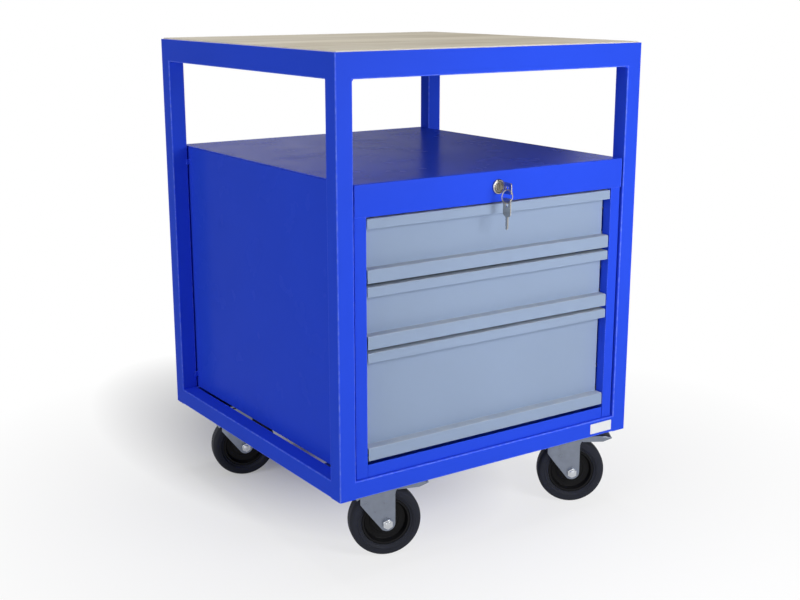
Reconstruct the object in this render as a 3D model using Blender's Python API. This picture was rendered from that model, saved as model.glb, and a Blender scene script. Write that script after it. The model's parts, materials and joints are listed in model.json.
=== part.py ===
"""Mobile workbench: a welded square-tube frame on four swivel casters, with a wooden top laid in
an angle rim, an open bay, and a sheet-metal cabinet of three drawers behind one cam lock.

Sizes are in metres. X runs to the right, Y to the rear and Z up from the floor."""

import math

import bmesh
import bpy
from mathutils import Matrix, Vector

# Gap left between solids that touch on the real bench.
SEAT = 0.0003

# Welded frame.
FRAME_WIDTH = 0.620
FRAME_DEPTH = 0.620
FRAME_HEIGHT = 0.705
TUBE_SIDE = 0.030
TUBE_WALL = 0.002
TUBE_CORNER = 0.003
RIM_HEIGHT = 0.040
RIM_THICKNESS = 0.003

# Wooden top.
BOARD_THICKNESS = 0.039
BOARD_EDGE_ROUNDING = 0.0015

# Cabinet sheet metal.
SHEET = 0.0015
SHEET_BEND = 0.002
CABINET_SIDE_GAP = 0.003
CABINET_REAR_RECESS = 0.002
FASCIA_RECESS = 0.002
FASCIA_HEIGHT = 0.052
FASCIA_HEM = 0.010
STILE_WIDTH = 0.0217
STILE_RETURN = 0.018
SILL_HEIGHT = 0.0217
REAR_PANEL_FLANGE = 0.015
TAB_HEIGHT = 0.010
TAB_ON_POST = 0.004
TAB_THICKNESS = 0.003
TAB_FROM_END = 0.028

# Drawers, named from the floor up.
FRONT_HEIGHTS = {"lower": 0.181, "middle": 0.102, "upper": 0.103}
FRONT_GAP = 0.005
FRONT_TOP_GAP = 0.0025
FRONT_SIDE_GAP = 0.0023
FRONT_SHEET = 0.0012
GRIP_DEPTH = 0.018
TOP_LIP_HEIGHT = 0.016
LEDGE_HEIGHT = 0.0225
BOX_SHEET = 0.0012
BOX_BELOW_FRONT_TOP = 0.015
BOX_ABOVE_FRONT_FOOT = 0.004
BOX_REAR_GAP = 0.020
RUNNER_SPACE = 0.0127
RUNNER_HEIGHT = 0.045
RUNNER_SHEET = 0.0015
RUNNER_LIP = 0.008
RUNNER_PLAY = 0.0004
RUNNER_ABOVE_BOX_FOOT = 0.016
RUNNER_BEHIND_FRONT = 0.006
RUNNER_LENGTH = 0.510

# Cam lock, key and locking bar.
ROSETTE_DIAMETER = 0.025
ROSETTE_THICKNESS = 0.004
LOCK_BODY_DIAMETER = 0.018
LOCK_BODY_LENGTH = 0.022
PLUG_DIAMETER = 0.012
PLUG_PLAY = 0.0003
KEYWAY_PLAY = 0.0003
CAM_THICKNESS = 0.003
CAM_PIN_DIAMETER = 0.003
KEY_THICKNESS = 0.002
KEY_BLADE_HEIGHT = 0.0064
KEY_BLADE_LENGTH = 0.022
KEY_NECK_LENGTH = 0.009
KEY_NECK_HEIGHT = 0.0077
KEY_CUTS = 4
KEY_CUT_SHALLOW = 0.0011
KEY_CUT_DEEP = 0.0018
KEY_BOW_DIAMETER = 0.022
KEY_EYE_DIAMETER = 0.007
RING_INNER_RADIUS = 0.0104
RING_WIRE = 0.0016
RING_PLAY = 0.00045
BAR_THICKNESS = 0.003
BAR_WIDTH = 0.014
BAR_TRAVEL = 0.012
HOOK_CLEARANCE = 0.0015
HOOK_THICKNESS = 0.005
HOOK_TIP_LENGTH = 0.008

# Casters: swivel axis measured in from the frame's outer faces.
FRONT_CASTER_FROM_SIDE = 0.100
REAR_CASTER_FROM_SIDE = 0.066
CASTER_FROM_END = 0.082
CASTER_HEAD = 0.030
CASTER_RECESS = 0.010
CASTER_TRAIL = 0.032
PLATE_THICKNESS = 0.004
RACE_DIAMETER = 0.056
RACE_FOOT_DIAMETER = 0.0436
RACE_TAPER = 0.005
SWING_CLEARANCE = 0.0015
FORK_SHEET = 0.0025
FORK_SIDE_PLAY = 0.0015
WHEEL_CLEARANCE = 0.003
FORK_REAR_REACH = 0.014
FORK_LEAD_ABOVE_AXLE = 0.0525
FORK_TOP_DROP = 0.0004
AXLE_DIAMETER = 0.010
AXLE_HEAD = 0.016
AXLE_HEAD_THICKNESS = 0.006
WHEEL_DIAMETER = 0.125
WHEEL_FACETS = 40
TYRE_WIDTH = 0.036
TYRE_DEPTH = 0.020
TYRE_BEAD_WIDTH = 0.0288
TYRE_SHOULDER = 0.006
TREAD_WIDTH = 0.0198
TREAD_EDGE_WIDTH = 0.0306
TREAD_CROWN = 0.0018
HUB_WIDTH = 0.040
HUB_FACETS = 24
HUB_BOSS_DIAMETER = 0.028
HUB_BOSS_END_DIAMETER = 0.0238
HUB_WEB = 0.0086
HUB_RIM = 0.004
HUB_RIM_TAPER = 0.002
PEDAL_LENGTH = 0.074
PEDAL_LEVEL = 0.0148
PEDAL_WIDTH = 0.036
PEDAL_TIP_ROUNDING = 0.0072
PEDAL_SHEET = 0.002
PEDAL_FLANGE = 0.007
PEDAL_DROP = 0.018
PEDAL_PIN_DIAMETER = 0.005
SWIVEL_ANGLES = {"front_left": -20.0, "front_right": -33.0, "rear_left": -14.0, "rear_right": -112.0}

# Faces used to draw round pieces.
ROUND_STEPS = 32
BEND_STEPS = 2

# Levels and planes that follow from the sizes above.
CASTER_HEIGHT = WHEEL_DIAMETER + CASTER_HEAD
FRAME_FOOT = CASTER_HEIGHT - CASTER_RECESS
FRAME_TOP = FRAME_FOOT + FRAME_HEIGHT
RAIL_TOP = FRAME_FOOT + TUBE_SIDE
FRAME_LEFT = -FRAME_WIDTH / 2
FRAME_FRONT = -FRAME_DEPTH / 2
REAR_POST_FRONT = FRAME_DEPTH / 2 - TUBE_SIDE
CABINET_FOOT = RAIL_TOP + SEAT
CABINET_HALF_WIDTH = FRAME_WIDTH / 2 - TUBE_SIDE - CABINET_SIDE_GAP
CABINET_FRONT = FRAME_FRONT + FASCIA_RECESS
CABINET_REAR = FRAME_DEPTH / 2 - CABINET_REAR_RECESS
STILE_FRONT = CABINET_FRONT + SHEET + SEAT
OPENING_HALF_WIDTH = CABINET_HALF_WIDTH - STILE_WIDTH
OPENING_FOOT = CABINET_FOOT + SILL_HEIGHT
FASCIA_FOOT = OPENING_FOOT + sum(FRONT_HEIGHTS.values()) + len(FRONT_HEIGHTS) * FRONT_GAP + FRONT_TOP_GAP
SHELF_TOP = FASCIA_FOOT + FASCIA_HEIGHT
LOCK_HEIGHT = FASCIA_FOOT + FASCIA_HEIGHT / 2
ROSETTE_FRONT = CABINET_FRONT - SEAT - ROSETTE_THICKNESS
KEY_EYE_FRONT = ROSETTE_FRONT - KEY_NECK_LENGTH - KEY_BOW_DIAMETER / 2
KEY_FRONT = KEY_EYE_FRONT - KEY_BOW_DIAMETER / 2
BOX_FRONT = STILE_FRONT + GRIP_DEPTH + FRONT_SHEET + SEAT
BOX_REAR = CABINET_REAR - BOX_REAR_GAP
BOX_HALF_WIDTH = OPENING_HALF_WIDTH - RUNNER_SPACE - SEAT
AXLE_HEIGHT = WHEEL_DIAMETER / 2 * math.cos(math.pi / WHEEL_FACETS)
# The forks swing under the rails, so the swivel race reaches below them.
RACE_DEPTH = CASTER_RECESS + SWING_CLEARANCE
# The origin lies under the middle of the outline, keys included.
FRAME_CENTRE_Y = (FRAME_FRONT - KEY_FRONT) / 2


def clear_scene():
    for item in list(bpy.data.objects):
        bpy.data.objects.remove(item, do_unlink=True)


def finish(name, colour, roughness, metallic):
    """A plain surface finish: linear colour, roughness and metallic value."""
    made = bpy.data.materials.new(name)
    made.use_nodes = True
    shader = made.node_tree.nodes["Principled BSDF"]
    shader.inputs["Base Color"].default_value = (*colour, 1.0)
    shader.inputs["Roughness"].default_value = roughness
    shader.inputs["Metallic"].default_value = metallic
    made.diffuse_color = (*colour, 1.0)
    return made


def make_finishes():
    return {
        "blue_paint": finish("blue_paint", (0.020, 0.070, 0.780), 0.40, 0.0),
        "grey_paint": finish("grey_paint", (0.330, 0.410, 0.560), 0.45, 0.0),
        "plywood": finish("plywood", (0.520, 0.440, 0.320), 0.60, 0.0),
        "zinc": finish("zinc", (0.400, 0.430, 0.460), 0.35, 1.0),
        "nickel": finish("nickel", (0.620, 0.600, 0.570), 0.22, 1.0),
        "rubber": finish("rubber", (0.018, 0.019, 0.023), 0.75, 0.0),
        "plastic": finish("plastic", (0.012, 0.012, 0.013), 0.50, 0.0),
    }


# Outlines in a plane


def arc(centre, radius, start, end, steps):
    """Points on an arc, angles in degrees, both ends included."""
    angles = [math.radians(start + (end - start) * step / steps) for step in range(steps + 1)]
    return [(centre[0] + radius * math.cos(a), centre[1] + radius * math.sin(a)) for a in angles]


def rectangle(low, high):
    return [(low[0], low[1]), (high[0], low[1]), (high[0], high[1]), (low[0], high[1])]


def rounded_rectangle(low, high, radius, steps=BEND_STEPS):
    corners = (
        ((high[0] - radius, low[1] + radius), -90),
        ((high[0] - radius, high[1] - radius), 0),
        ((low[0] + radius, high[1] - radius), 90),
        ((low[0] + radius, low[1] + radius), 180),
    )
    return [point for centre, start in corners for point in arc(centre, radius, start, start + 90, steps)]


def rounded_path(points, radius, steps=BEND_STEPS):
    """An open path whose inner corners are turned into arcs."""
    path = [Vector(points[0])]
    for before, corner, after in zip(points, points[1:], points[2:]):
        corner = Vector(corner)
        back = (Vector(before) - corner).normalized()
        on = (Vector(after) - corner).normalized()
        half = back.angle(on) / 2
        reach = radius / math.tan(half)
        centre = corner + (back + on).normalized() * radius / math.sin(half)
        first = corner + back * reach - centre
        last = corner + on * reach - centre
        turn = first.angle_signed(last)
        for step in range(steps + 1):
            path.append(centre + Matrix.Rotation(-turn * step / steps, 2) @ first)
    path.append(Vector(points[-1]))
    return path


def folded_sheet(points, thickness, radius=SHEET_BEND):
    """The closed outline of a sheet folded along a path that runs through the middle of its wall."""
    path = rounded_path(points, radius)
    sides = ([], [])
    for index, point in enumerate(path):
        before = path[max(index - 1, 0)]
        after = path[min(index + 1, len(path) - 1)]
        into = (point - before).normalized() if index else (after - point).normalized()
        out = (after - point).normalized() if index < len(path) - 1 else into
        mean = (into + out).normalized()
        normal = Vector((-mean.y, mean.x)) / max(mean.dot(into), 0.5)
        for side, sign in zip(sides, (1, -1)):
            side.append(tuple(point + normal * sign * thickness / 2))
    return sides[0] + sides[1][::-1]


# Solids


def on_axis(axis, first, second, along):
    """A point from two plane coordinates and a place along the axis, in X, Y, Z order."""
    return {"X": (along, first, second), "Y": (first, along, second), "Z": (first, second, along)}[axis]


def closed_up(solid):
    bmesh.ops.remove_doubles(solid, verts=solid.verts, dist=1e-6)
    bmesh.ops.recalc_face_normals(solid, faces=solid.faces)
    return solid


def push(solid, faces, axis, length):
    """Extrude faces along an axis into a solid."""
    grown = bmesh.ops.extrude_face_region(solid, geom=faces)["geom"]
    moved = [item for item in grown if isinstance(item, bmesh.types.BMVert)]
    bmesh.ops.translate(solid, verts=moved, vec=on_axis(axis, 0, 0, length))
    return closed_up(solid)


def prism(outline, axis, start, end):
    """An outline extruded along an axis."""
    solid = bmesh.new()
    corners = [solid.verts.new(on_axis(axis, first, second, start)) for first, second in outline]
    return push(solid, [solid.faces.new(corners)], axis, end - start)


def loop_of(solid, outline, axis, along):
    corners = [solid.verts.new(on_axis(axis, first, second, along)) for first, second in outline]
    return [solid.edges.new(pair) for pair in zip(corners, corners[1:] + corners[:1])]


def hollow_prism(outer, inner, axis, start, end):
    """A tube: the ring between two outlines, extruded along an axis."""
    solid = bmesh.new()
    edges = loop_of(solid, outer, axis, start) + loop_of(solid, inner, axis, start)
    ring = bmesh.ops.bridge_loops(solid, edges=edges)["faces"]
    return push(solid, ring, axis, end - start)


def block(low, high):
    return prism(rectangle(low[:2], high[:2]), "Z", low[2], high[2])


def pan(low, high, wall, open_side):
    """A folded tray: a block hollowed from one side down to a floor and four walls."""
    solid = block(low, high)
    open_side = Vector(open_side)
    mouth = max(solid.faces, key=lambda face: face.normal.dot(open_side))
    folds = [edge for edge in solid.edges if mouth not in edge.link_faces]
    bmesh.ops.bevel(
        solid, geom=folds, offset=SHEET_BEND, segments=BEND_STEPS, profile=0.5, affect="EDGES"
    )
    mouth = max(solid.faces, key=lambda face: face.normal.dot(open_side))
    depth = abs((Vector(high) - Vector(low)).dot(open_side)) - wall
    bmesh.ops.inset_individual(solid, faces=[mouth], thickness=wall, use_even_offset=True)
    floor = bmesh.ops.extrude_discrete_faces(solid, faces=[mouth])["faces"][0]
    bmesh.ops.translate(solid, verts=floor.verts, vec=-open_side * depth)
    return closed_up(solid)


def turned(profile, axis, steps=ROUND_STEPS, phase=0.0):
    """A profile of (radius, place along the axis) points turned once round the axis."""
    solid = bmesh.new()
    corners = [solid.verts.new((radius, 0, along)) for radius, along in profile]
    pairs = list(zip(corners, corners[1:]))
    if min(profile[0][0], profile[-1][0]) > 0:
        pairs.append((corners[-1], corners[0]))
    edges = [solid.edges.new(pair) for pair in pairs]
    bmesh.ops.spin(
        solid, geom=corners + edges, cent=(0, 0, 0), axis=(0, 0, 1),
        angle=math.tau, steps=steps, use_merge=True,
    )
    turn = Matrix.Rotation(phase, 4, "Z")
    if axis == "Y":
        turn = Matrix.Rotation(-math.pi / 2, 4, "X") @ turn
    bmesh.ops.transform(solid, matrix=turn, verts=solid.verts)
    return closed_up(solid)


def moved(solid, place):
    bmesh.ops.translate(solid, verts=solid.verts, vec=place)
    return solid


def scratch_object(solid):
    mesh = bpy.data.meshes.new("scratch")
    solid.to_mesh(mesh)
    solid.free()
    made = bpy.data.objects.new("scratch", mesh)
    bpy.context.scene.collection.objects.link(made)
    return made


def combined(body, tool, operation):
    """The Boolean of two solids. Both are used up."""
    pair = [scratch_object(body), scratch_object(tool)]
    modifier = pair[0].modifiers.new("combine", "BOOLEAN")
    modifier.operation = operation
    modifier.solver = "EXACT"
    modifier.object = pair[1]
    result = bmesh.new()
    result.from_object(pair[0], bpy.context.evaluated_depsgraph_get())
    for made in pair:
        bpy.data.meshes.remove(made.data)
    return result


def cut(body, tool):
    return combined(body, tool, "DIFFERENCE")


def joined(body, tool):
    return combined(body, tool, "UNION")


# Objects


def pivot(name, parent, place, turn_z=0.0):
    """An empty on a joint's axis, placed in its parent's frame."""
    made = bpy.data.objects.new(name, None)
    bpy.context.scene.collection.objects.link(made)
    made.parent = parent
    made.location = place
    made.rotation_euler.z = math.radians(turn_z)
    return made


def mesh_of(solid, name, material, smooth=False):
    mesh = bpy.data.meshes.new(name)
    solid.to_mesh(mesh)
    solid.free()
    mesh.materials.append(material)
    if smooth:
        mesh.shade_smooth()
        mesh.set_sharp_from_angle(angle=math.radians(35))
    return mesh


def part(name, mesh, parent, place=(0, 0, 0)):
    """One sub-part, whose mesh is drawn in its own frame."""
    made = bpy.data.objects.new(name, mesh)
    bpy.context.scene.collection.objects.link(made)
    made.parent = parent
    made.location = place
    return made


def build_part(name, solid, material, parent, place=(0, 0, 0), smooth=False):
    return part(name, mesh_of(solid, name, material, smooth), parent, place)


# Frame


def square_tube(axis, low, high, start, end):
    """Square tube between two corners of its section, from start to end along an axis."""
    outer = rounded_rectangle(low, high, TUBE_CORNER)
    inset = TUBE_WALL
    inner = rounded_rectangle(
        (low[0] + inset, low[1] + inset), (high[0] - inset, high[1] - inset), TUBE_CORNER - TUBE_WALL
    )
    return hollow_prism(outer, inner, axis, start, end)


def make_posts(bench, paint):
    top = FRAME_TOP - RIM_HEIGHT - SEAT
    for depth, front in (("front", FRAME_FRONT), ("rear", REAR_POST_FRONT)):
        for side, left in (("left", FRAME_LEFT), ("right", -FRAME_LEFT - TUBE_SIDE)):
            low = (left, front)
            high = (left + TUBE_SIDE, front + TUBE_SIDE)
            tube = square_tube("Z", low, high, FRAME_FOOT, top)
            build_part(f"post_{depth}_{side}", tube, paint, bench)


def make_bottom_rails(bench, paint):
    inner_x = FRAME_WIDTH / 2 - TUBE_SIDE - SEAT
    inner_y = FRAME_DEPTH / 2 - TUBE_SIDE - SEAT
    for name, front in (("front", FRAME_FRONT), ("rear", REAR_POST_FRONT)):
        tube = square_tube("X", (front, FRAME_FOOT), (front + TUBE_SIDE, RAIL_TOP), -inner_x, inner_x)
        build_part(f"bottom_rail_{name}", tube, paint, bench)
    for name, left in (("left", FRAME_LEFT), ("right", -FRAME_LEFT - TUBE_SIDE)):
        tube = square_tube("Y", (left, FRAME_FOOT), (left + TUBE_SIDE, RAIL_TOP), -inner_y, inner_y)
        build_part(f"bottom_rail_{name}", tube, paint, bench)


def rim_rail(half_length, half_span):
    """One side of the angle rim along X, on the -Y side, its ends mitred to meet its neighbours."""
    middle = RIM_THICKNESS / 2
    foot = FRAME_TOP - RIM_HEIGHT
    path = [
        (middle, FRAME_TOP),
        (middle, foot + middle),
        (TUBE_SIDE, foot + middle),
    ]
    outline = [(-half_span + inward, up) for inward, up in folded_sheet(path, RIM_THICKNESS)]
    solid = prism(outline, "X", -half_length + SEAT, half_length - SEAT)
    for corner in solid.verts:
        inward = corner.co.y + half_span
        corner.co.x -= math.copysign(inward, corner.co.x)
    return solid


def make_rim(bench, paint):
    for name, quarter in (("front", 0), ("right", 1), ("rear", 2), ("left", 3)):
        across, along = (FRAME_WIDTH, FRAME_DEPTH) if quarter % 2 == 0 else (FRAME_DEPTH, FRAME_WIDTH)
        rail = rim_rail(across / 2, along / 2)
        bmesh.ops.rotate(rail, matrix=Matrix.Rotation(quarter * math.pi / 2, 3, "Z"), verts=rail.verts)
        build_part(f"top_rail_{name}", rail, paint, bench)


def make_worktop(bench, wood):
    half_x = FRAME_WIDTH / 2 - RIM_THICKNESS - SEAT
    half_y = FRAME_DEPTH / 2 - RIM_THICKNESS - SEAT
    foot = FRAME_TOP - RIM_HEIGHT + RIM_THICKNESS + SEAT
    # The foot's edges stand off the inner bend of the rim.
    clear = SHEET_BEND
    lower = rectangle((-half_x + clear, -half_y + clear), (half_x - clear, half_y - clear))
    board = prism(lower, "Z", foot, foot + BOARD_THICKNESS)
    rebate = rectangle((-half_x, -half_y), (half_x, half_y))
    upper = prism(rebate, "Z", foot + clear, foot + BOARD_THICKNESS)
    middle = foot + BOARD_THICKNESS / 2
    edges = [edge for edge in upper.edges if max(corner.co.z for corner in edge.verts) > middle]
    bmesh.ops.bevel(
        upper, geom=edges, offset=BOARD_EDGE_ROUNDING, segments=2, profile=0.5, affect="EDGES"
    )
    build_part("worktop_board", joined(upper, board), wood, bench)


# Cabinet


def make_cabinet_sides(bench, paint):
    """Folded side panels that run from the front posts to between the rear ones, where tabs fix them.
    Their front flanges are the stiles, which are folded back again along the opening."""
    top = SHELF_TOP - SHEET - SEAT
    for side, sign in (("left", -1), ("right", 1)):
        xs = sorted((sign * OPENING_HALF_WIDTH, sign * CABINET_HALF_WIDTH))
        panel = pan(
            (xs[0], STILE_FRONT, CABINET_FOOT), (xs[1], CABINET_REAR, top), SHEET, (-sign, 0, 0)
        )
        return_xs = sorted((sign * OPENING_HALF_WIDTH, sign * (OPENING_HALF_WIDTH + SHEET)))
        fold = block(
            (return_xs[0], STILE_FRONT + SHEET / 2, OPENING_FOOT),
            (return_xs[1], STILE_FRONT + STILE_RETURN, FASCIA_FOOT),
        )
        panel = joined(panel, fold)
        inner_x = sign * (CABINET_HALF_WIDTH - SHEET / 2)
        outer_x = sign * (FRAME_WIDTH / 2 - TUBE_SIDE + TAB_ON_POST)
        tab_xs = sorted((inner_x, outer_x))
        tab_rear = REAR_POST_FRONT - SEAT
        for middle in (CABINET_FOOT + TAB_FROM_END, top - TAB_FROM_END):
            tab = block(
                (tab_xs[0], tab_rear - TAB_THICKNESS, middle - TAB_HEIGHT / 2),
                (tab_xs[1], tab_rear, middle + TAB_HEIGHT / 2),
            )
            panel = joined(panel, tab)
        build_part(f"cabinet_{side}_side", panel, paint, bench)


def make_cabinet_floor(bench, paint):
    half = OPENING_HALF_WIDTH - SEAT
    floor = pan(
        (-half, STILE_FRONT, CABINET_FOOT), (half, CABINET_REAR, OPENING_FOOT), SHEET, (0, 0, 1)
    )
    build_part("cabinet_floor", floor, paint, bench)


def make_cabinet_rear(bench, paint):
    half = OPENING_HALF_WIDTH - SEAT
    panel = pan(
        (-half, CABINET_REAR - REAR_PANEL_FLANGE, OPENING_FOOT + SEAT),
        (half, CABINET_REAR, SHELF_TOP - SHEET - SEAT),
        SHEET,
        (0, -1, 0),
    )
    build_part("cabinet_rear_panel", panel, paint, bench)


def make_cabinet_cover(bench, paint):
    """The shelf: a sheet lid whose front is folded down as the fascia, hemmed back at its foot."""
    middle = SHEET / 2
    path = [
        (CABINET_REAR, SHELF_TOP - middle),
        (CABINET_FRONT + middle, SHELF_TOP - middle),
        (CABINET_FRONT + middle, FASCIA_FOOT + middle),
        (CABINET_FRONT + FASCIA_HEM, FASCIA_FOOT + middle),
    ]
    lid = prism(folded_sheet(path, SHEET), "X", -CABINET_HALF_WIDTH, CABINET_HALF_WIDTH)
    # The hem is only as wide as the opening, so that it clears the stiles.
    for sign in (-1, 1):
        xs = sorted((sign * (OPENING_HALF_WIDTH - SEAT), sign * (CABINET_HALF_WIDTH + SHEET)))
        notch = block(
            (xs[0], CABINET_FRONT + SHEET, FASCIA_FOOT - SHEET),
            (xs[1], CABINET_FRONT + 2 * FASCIA_HEM, FASCIA_FOOT + 2 * SHEET_BEND + SHEET),
        )
        lid = cut(lid, notch)
    hole = turned(
        [(0, -SHEET_BEND), (LOCK_BODY_DIAMETER / 2 + SEAT, -SHEET_BEND),
         (LOCK_BODY_DIAMETER / 2 + SEAT, 2 * SHEET_BEND), (0, 2 * SHEET_BEND)],
        "Y",
    )
    lid = cut(lid, moved(hole, (0, CABINET_FRONT, LOCK_HEIGHT)))
    build_part("cabinet_top_cover", lid, paint, bench)


# Drawers


def drawer_levels():
    """Each drawer's name with the foot and top of its front."""
    levels = []
    foot = OPENING_FOOT + FRONT_GAP
    for name, height in FRONT_HEIGHTS.items():
        levels.append((name, foot, foot + height))
        foot += height + FRONT_GAP
    return levels


def drawer_front(foot, top):
    """The folded front: a ledge below, a panel set back by the grip depth, and a lip turned down above."""
    middle = FRONT_SHEET / 2
    lip = STILE_FRONT + middle
    panel = STILE_FRONT + GRIP_DEPTH + middle
    path = [
        (panel - middle, foot + middle),
        (lip, foot + middle),
        (lip, foot + LEDGE_HEIGHT - middle),
        (panel, foot + LEDGE_HEIGHT - middle),
        (panel, top - middle),
        (lip, top - middle),
        (lip, top - TOP_LIP_HEIGHT),
    ]
    half = OPENING_HALF_WIDTH - FRONT_SIDE_GAP
    return prism(folded_sheet(path, FRONT_SHEET), "X", -half, half)


def cabinet_runner(sign, foot):
    """Fixed runner: a channel open to the drawer, held off the side panel by its flanges."""
    wall = OPENING_HALF_WIDTH
    lip = wall - RUNNER_LIP - RUNNER_SHEET
    panel = CABINET_HALF_WIDTH - SHEET - SEAT
    top = foot + RUNNER_HEIGHT
    web = (wall - RUNNER_SHEET, wall)
    outline = [
        (lip, foot),
        (panel, foot),
        (panel, foot + RUNNER_SHEET),
        (web[1], foot + RUNNER_SHEET),
        (web[1], top - RUNNER_SHEET),
        (panel, top - RUNNER_SHEET),
        (panel, top),
        (lip, top),
        (lip, top - RUNNER_SHEET),
        (web[0], top - RUNNER_SHEET),
        (web[0], foot + RUNNER_SHEET),
        (lip, foot + RUNNER_SHEET),
    ]
    start = BOX_FRONT + RUNNER_BEHIND_FRONT
    return prism([(sign * x, z) for x, z in outline], "Y", start, start + RUNNER_LENGTH)


def drawer_runner(sign, foot):
    """Sliding runner: a channel on the drawer's side that rides inside the fixed one."""
    inner = BOX_HALF_WIDTH + SEAT
    outer = OPENING_HALF_WIDTH - RUNNER_SHEET - RUNNER_PLAY
    low = foot + RUNNER_SHEET + RUNNER_PLAY
    high = foot + RUNNER_HEIGHT - RUNNER_SHEET - RUNNER_PLAY
    outline = [
        (inner, low),
        (outer, low),
        (outer, low + RUNNER_SHEET),
        (inner + RUNNER_SHEET, low + RUNNER_SHEET),
        (inner + RUNNER_SHEET, high - RUNNER_SHEET),
        (outer, high - RUNNER_SHEET),
        (outer, high),
        (inner, high),
    ]
    start = BOX_FRONT + RUNNER_BEHIND_FRONT
    return prism([(sign * x, z) for x, z in outline], "Y", start, start + RUNNER_LENGTH)


def make_drawers(bench, finishes):
    for name, foot, top in drawer_levels():
        place = Vector((0, STILE_FRONT, (foot + top) / 2))
        slide = pivot(f"drawer_{name}_slide", bench, place)
        box = pan(
            (-BOX_HALF_WIDTH, BOX_FRONT, foot + BOX_ABOVE_FRONT_FOOT),
            (BOX_HALF_WIDTH, BOX_REAR, top - BOX_BELOW_FRONT_TOP),
            BOX_SHEET,
            (0, 0, 1),
        )
        build_part(f"drawer_{name}_box", moved(box, -place), finishes["grey_paint"], slide)
        front = drawer_front(foot, top)
        build_part(f"drawer_{name}_front", moved(front, -place), finishes["grey_paint"], slide)
        runner_foot = foot + BOX_ABOVE_FRONT_FOOT + RUNNER_ABOVE_BOX_FOOT
        for side, sign in (("left", -1), ("right", 1)):
            fixed = cabinet_runner(sign, runner_foot)
            build_part(f"runner_{name}_{side}_fixed", fixed, finishes["zinc"], bench)
            sliding = drawer_runner(sign, runner_foot)
            build_part(f"runner_{name}_{side}_sliding", moved(sliding, -place), finishes["zinc"], slide)


# Lock, keys and locking bar


def lock_housing():
    """Rosette and threaded body in one turned piece, bored for the plug. Drawn about its axis along Y."""
    bore = PLUG_DIAMETER / 2 + PLUG_PLAY
    face = ROSETTE_FRONT
    seat = CABINET_FRONT - SEAT
    rear = CABINET_FRONT + LOCK_BODY_LENGTH
    edge = ROSETTE_THICKNESS / 3
    rim = ROSETTE_DIAMETER / 2
    profile = [
        (bore, face),
        (rim - 2 * edge, face),
        (rim - edge / 2, face + edge),
        (rim, face + 2 * edge),
        (rim, seat),
        (LOCK_BODY_DIAMETER / 2, seat),
        (LOCK_BODY_DIAMETER / 2, rear),
        (bore, rear),
    ]
    return turned(profile, "Y")


def pin_radius():
    """Distance of the cam's pin from the lock's axis: a quarter turn moves the bar by its travel."""
    return BAR_TRAVEL / 2 / math.sin(math.pi / 4)


def cam_front():
    return CABINET_FRONT + LOCK_BODY_LENGTH + SEAT


def pin_rear():
    return cam_front() + 2 * CAM_THICKNESS + BAR_THICKNESS


def lock_plug():
    """Plug with its keyway, and the cam and pin at its rear. Drawn about its axis along Y."""
    radius = PLUG_DIAMETER / 2
    face = ROSETTE_FRONT - SEAT
    plug = turned(
        [(0, face), (radius, face), (radius, cam_front() + CAM_THICKNESS), (0, cam_front() + CAM_THICKNESS)],
        "Y",
    )
    reach = pin_radius()
    cam_end = reach + CAM_PIN_DIAMETER
    outline = arc((0, 0), radius, 90, 270, ROUND_STEPS // 4) + arc(
        (cam_end - radius, 0), radius, -90, 90, ROUND_STEPS // 4
    )
    cam = prism(outline, "Y", cam_front(), cam_front() + CAM_THICKNESS)
    pin_half = CAM_PIN_DIAMETER / 2
    pin_start = cam_front() + CAM_THICKNESS / 2
    pin = turned([(0, pin_start), (pin_half, pin_start), (pin_half, pin_rear()), (0, pin_rear())], "Y", 16)
    cam = joined(cam, moved(pin, (reach, 0, 0)))
    bmesh.ops.rotate(cam, matrix=Matrix.Rotation(-math.pi / 4, 3, "Y"), verts=cam.verts)
    plug = joined(plug, cam)
    half_x = KEY_THICKNESS / 2 + KEYWAY_PLAY
    half_z = KEY_BLADE_HEIGHT / 2 + KEYWAY_PLAY
    keyway = block(
        (-half_x, face - SEAT, -half_z), (half_x, ROSETTE_FRONT + KEY_BLADE_LENGTH + SEAT, half_z)
    )
    return cut(plug, keyway)


def key_blank():
    """A flat key in the YZ plane with the middle of its eye at the origin and its tip towards +Y."""
    bow = KEY_BOW_DIAMETER / 2
    half = KEY_BLADE_HEIGHT / 2
    blade_start = bow + KEY_NECK_LENGTH
    tip = blade_start + KEY_BLADE_LENGTH
    neck = KEY_NECK_HEIGHT / 2
    bow_angle = math.degrees(math.asin(neck / bow))
    outline = arc((0, 0), bow, bow_angle, 360 - bow_angle, ROUND_STEPS)
    outline += [(blade_start - SEAT, -neck), (blade_start - SEAT, -half), (tip - half, -half), (tip, 0)]
    outline.append((tip - half / 2, half / 2))
    pitch = (KEY_BLADE_LENGTH - half) / KEY_CUTS
    for index in range(KEY_CUTS):
        right = tip - half - index * pitch
        depth = KEY_CUT_SHALLOW if index % 2 else KEY_CUT_DEEP
        outline += [(right, half - depth / 3), (right - pitch / 2, half - depth)]
    outline += [(blade_start - SEAT, half), (blade_start - SEAT, neck)]
    blank = prism(outline, "X", -KEY_THICKNESS / 2, KEY_THICKNESS / 2)
    eye = prism(
        arc((0, 0), KEY_EYE_DIAMETER / 2, 0, 360 - 360 / ROUND_STEPS, ROUND_STEPS - 1),
        "X", -KEY_THICKNESS, KEY_THICKNESS,
    )
    return cut(blank, eye)


def key_ring():
    """A wire ring in the XZ plane about the origin."""
    middle = RING_INNER_RADIUS + RING_WIRE / 2
    section = arc((middle, 0), RING_WIRE / 2, 0, 315, 7)
    return turned(section, "Y", ROUND_STEPS)


def hook_level(top):
    """Underside of a raised hook's tip over a drawer whose box ends at this height."""
    return top - BOX_BELOW_FRONT_TOP + HOOK_CLEARANCE


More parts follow.
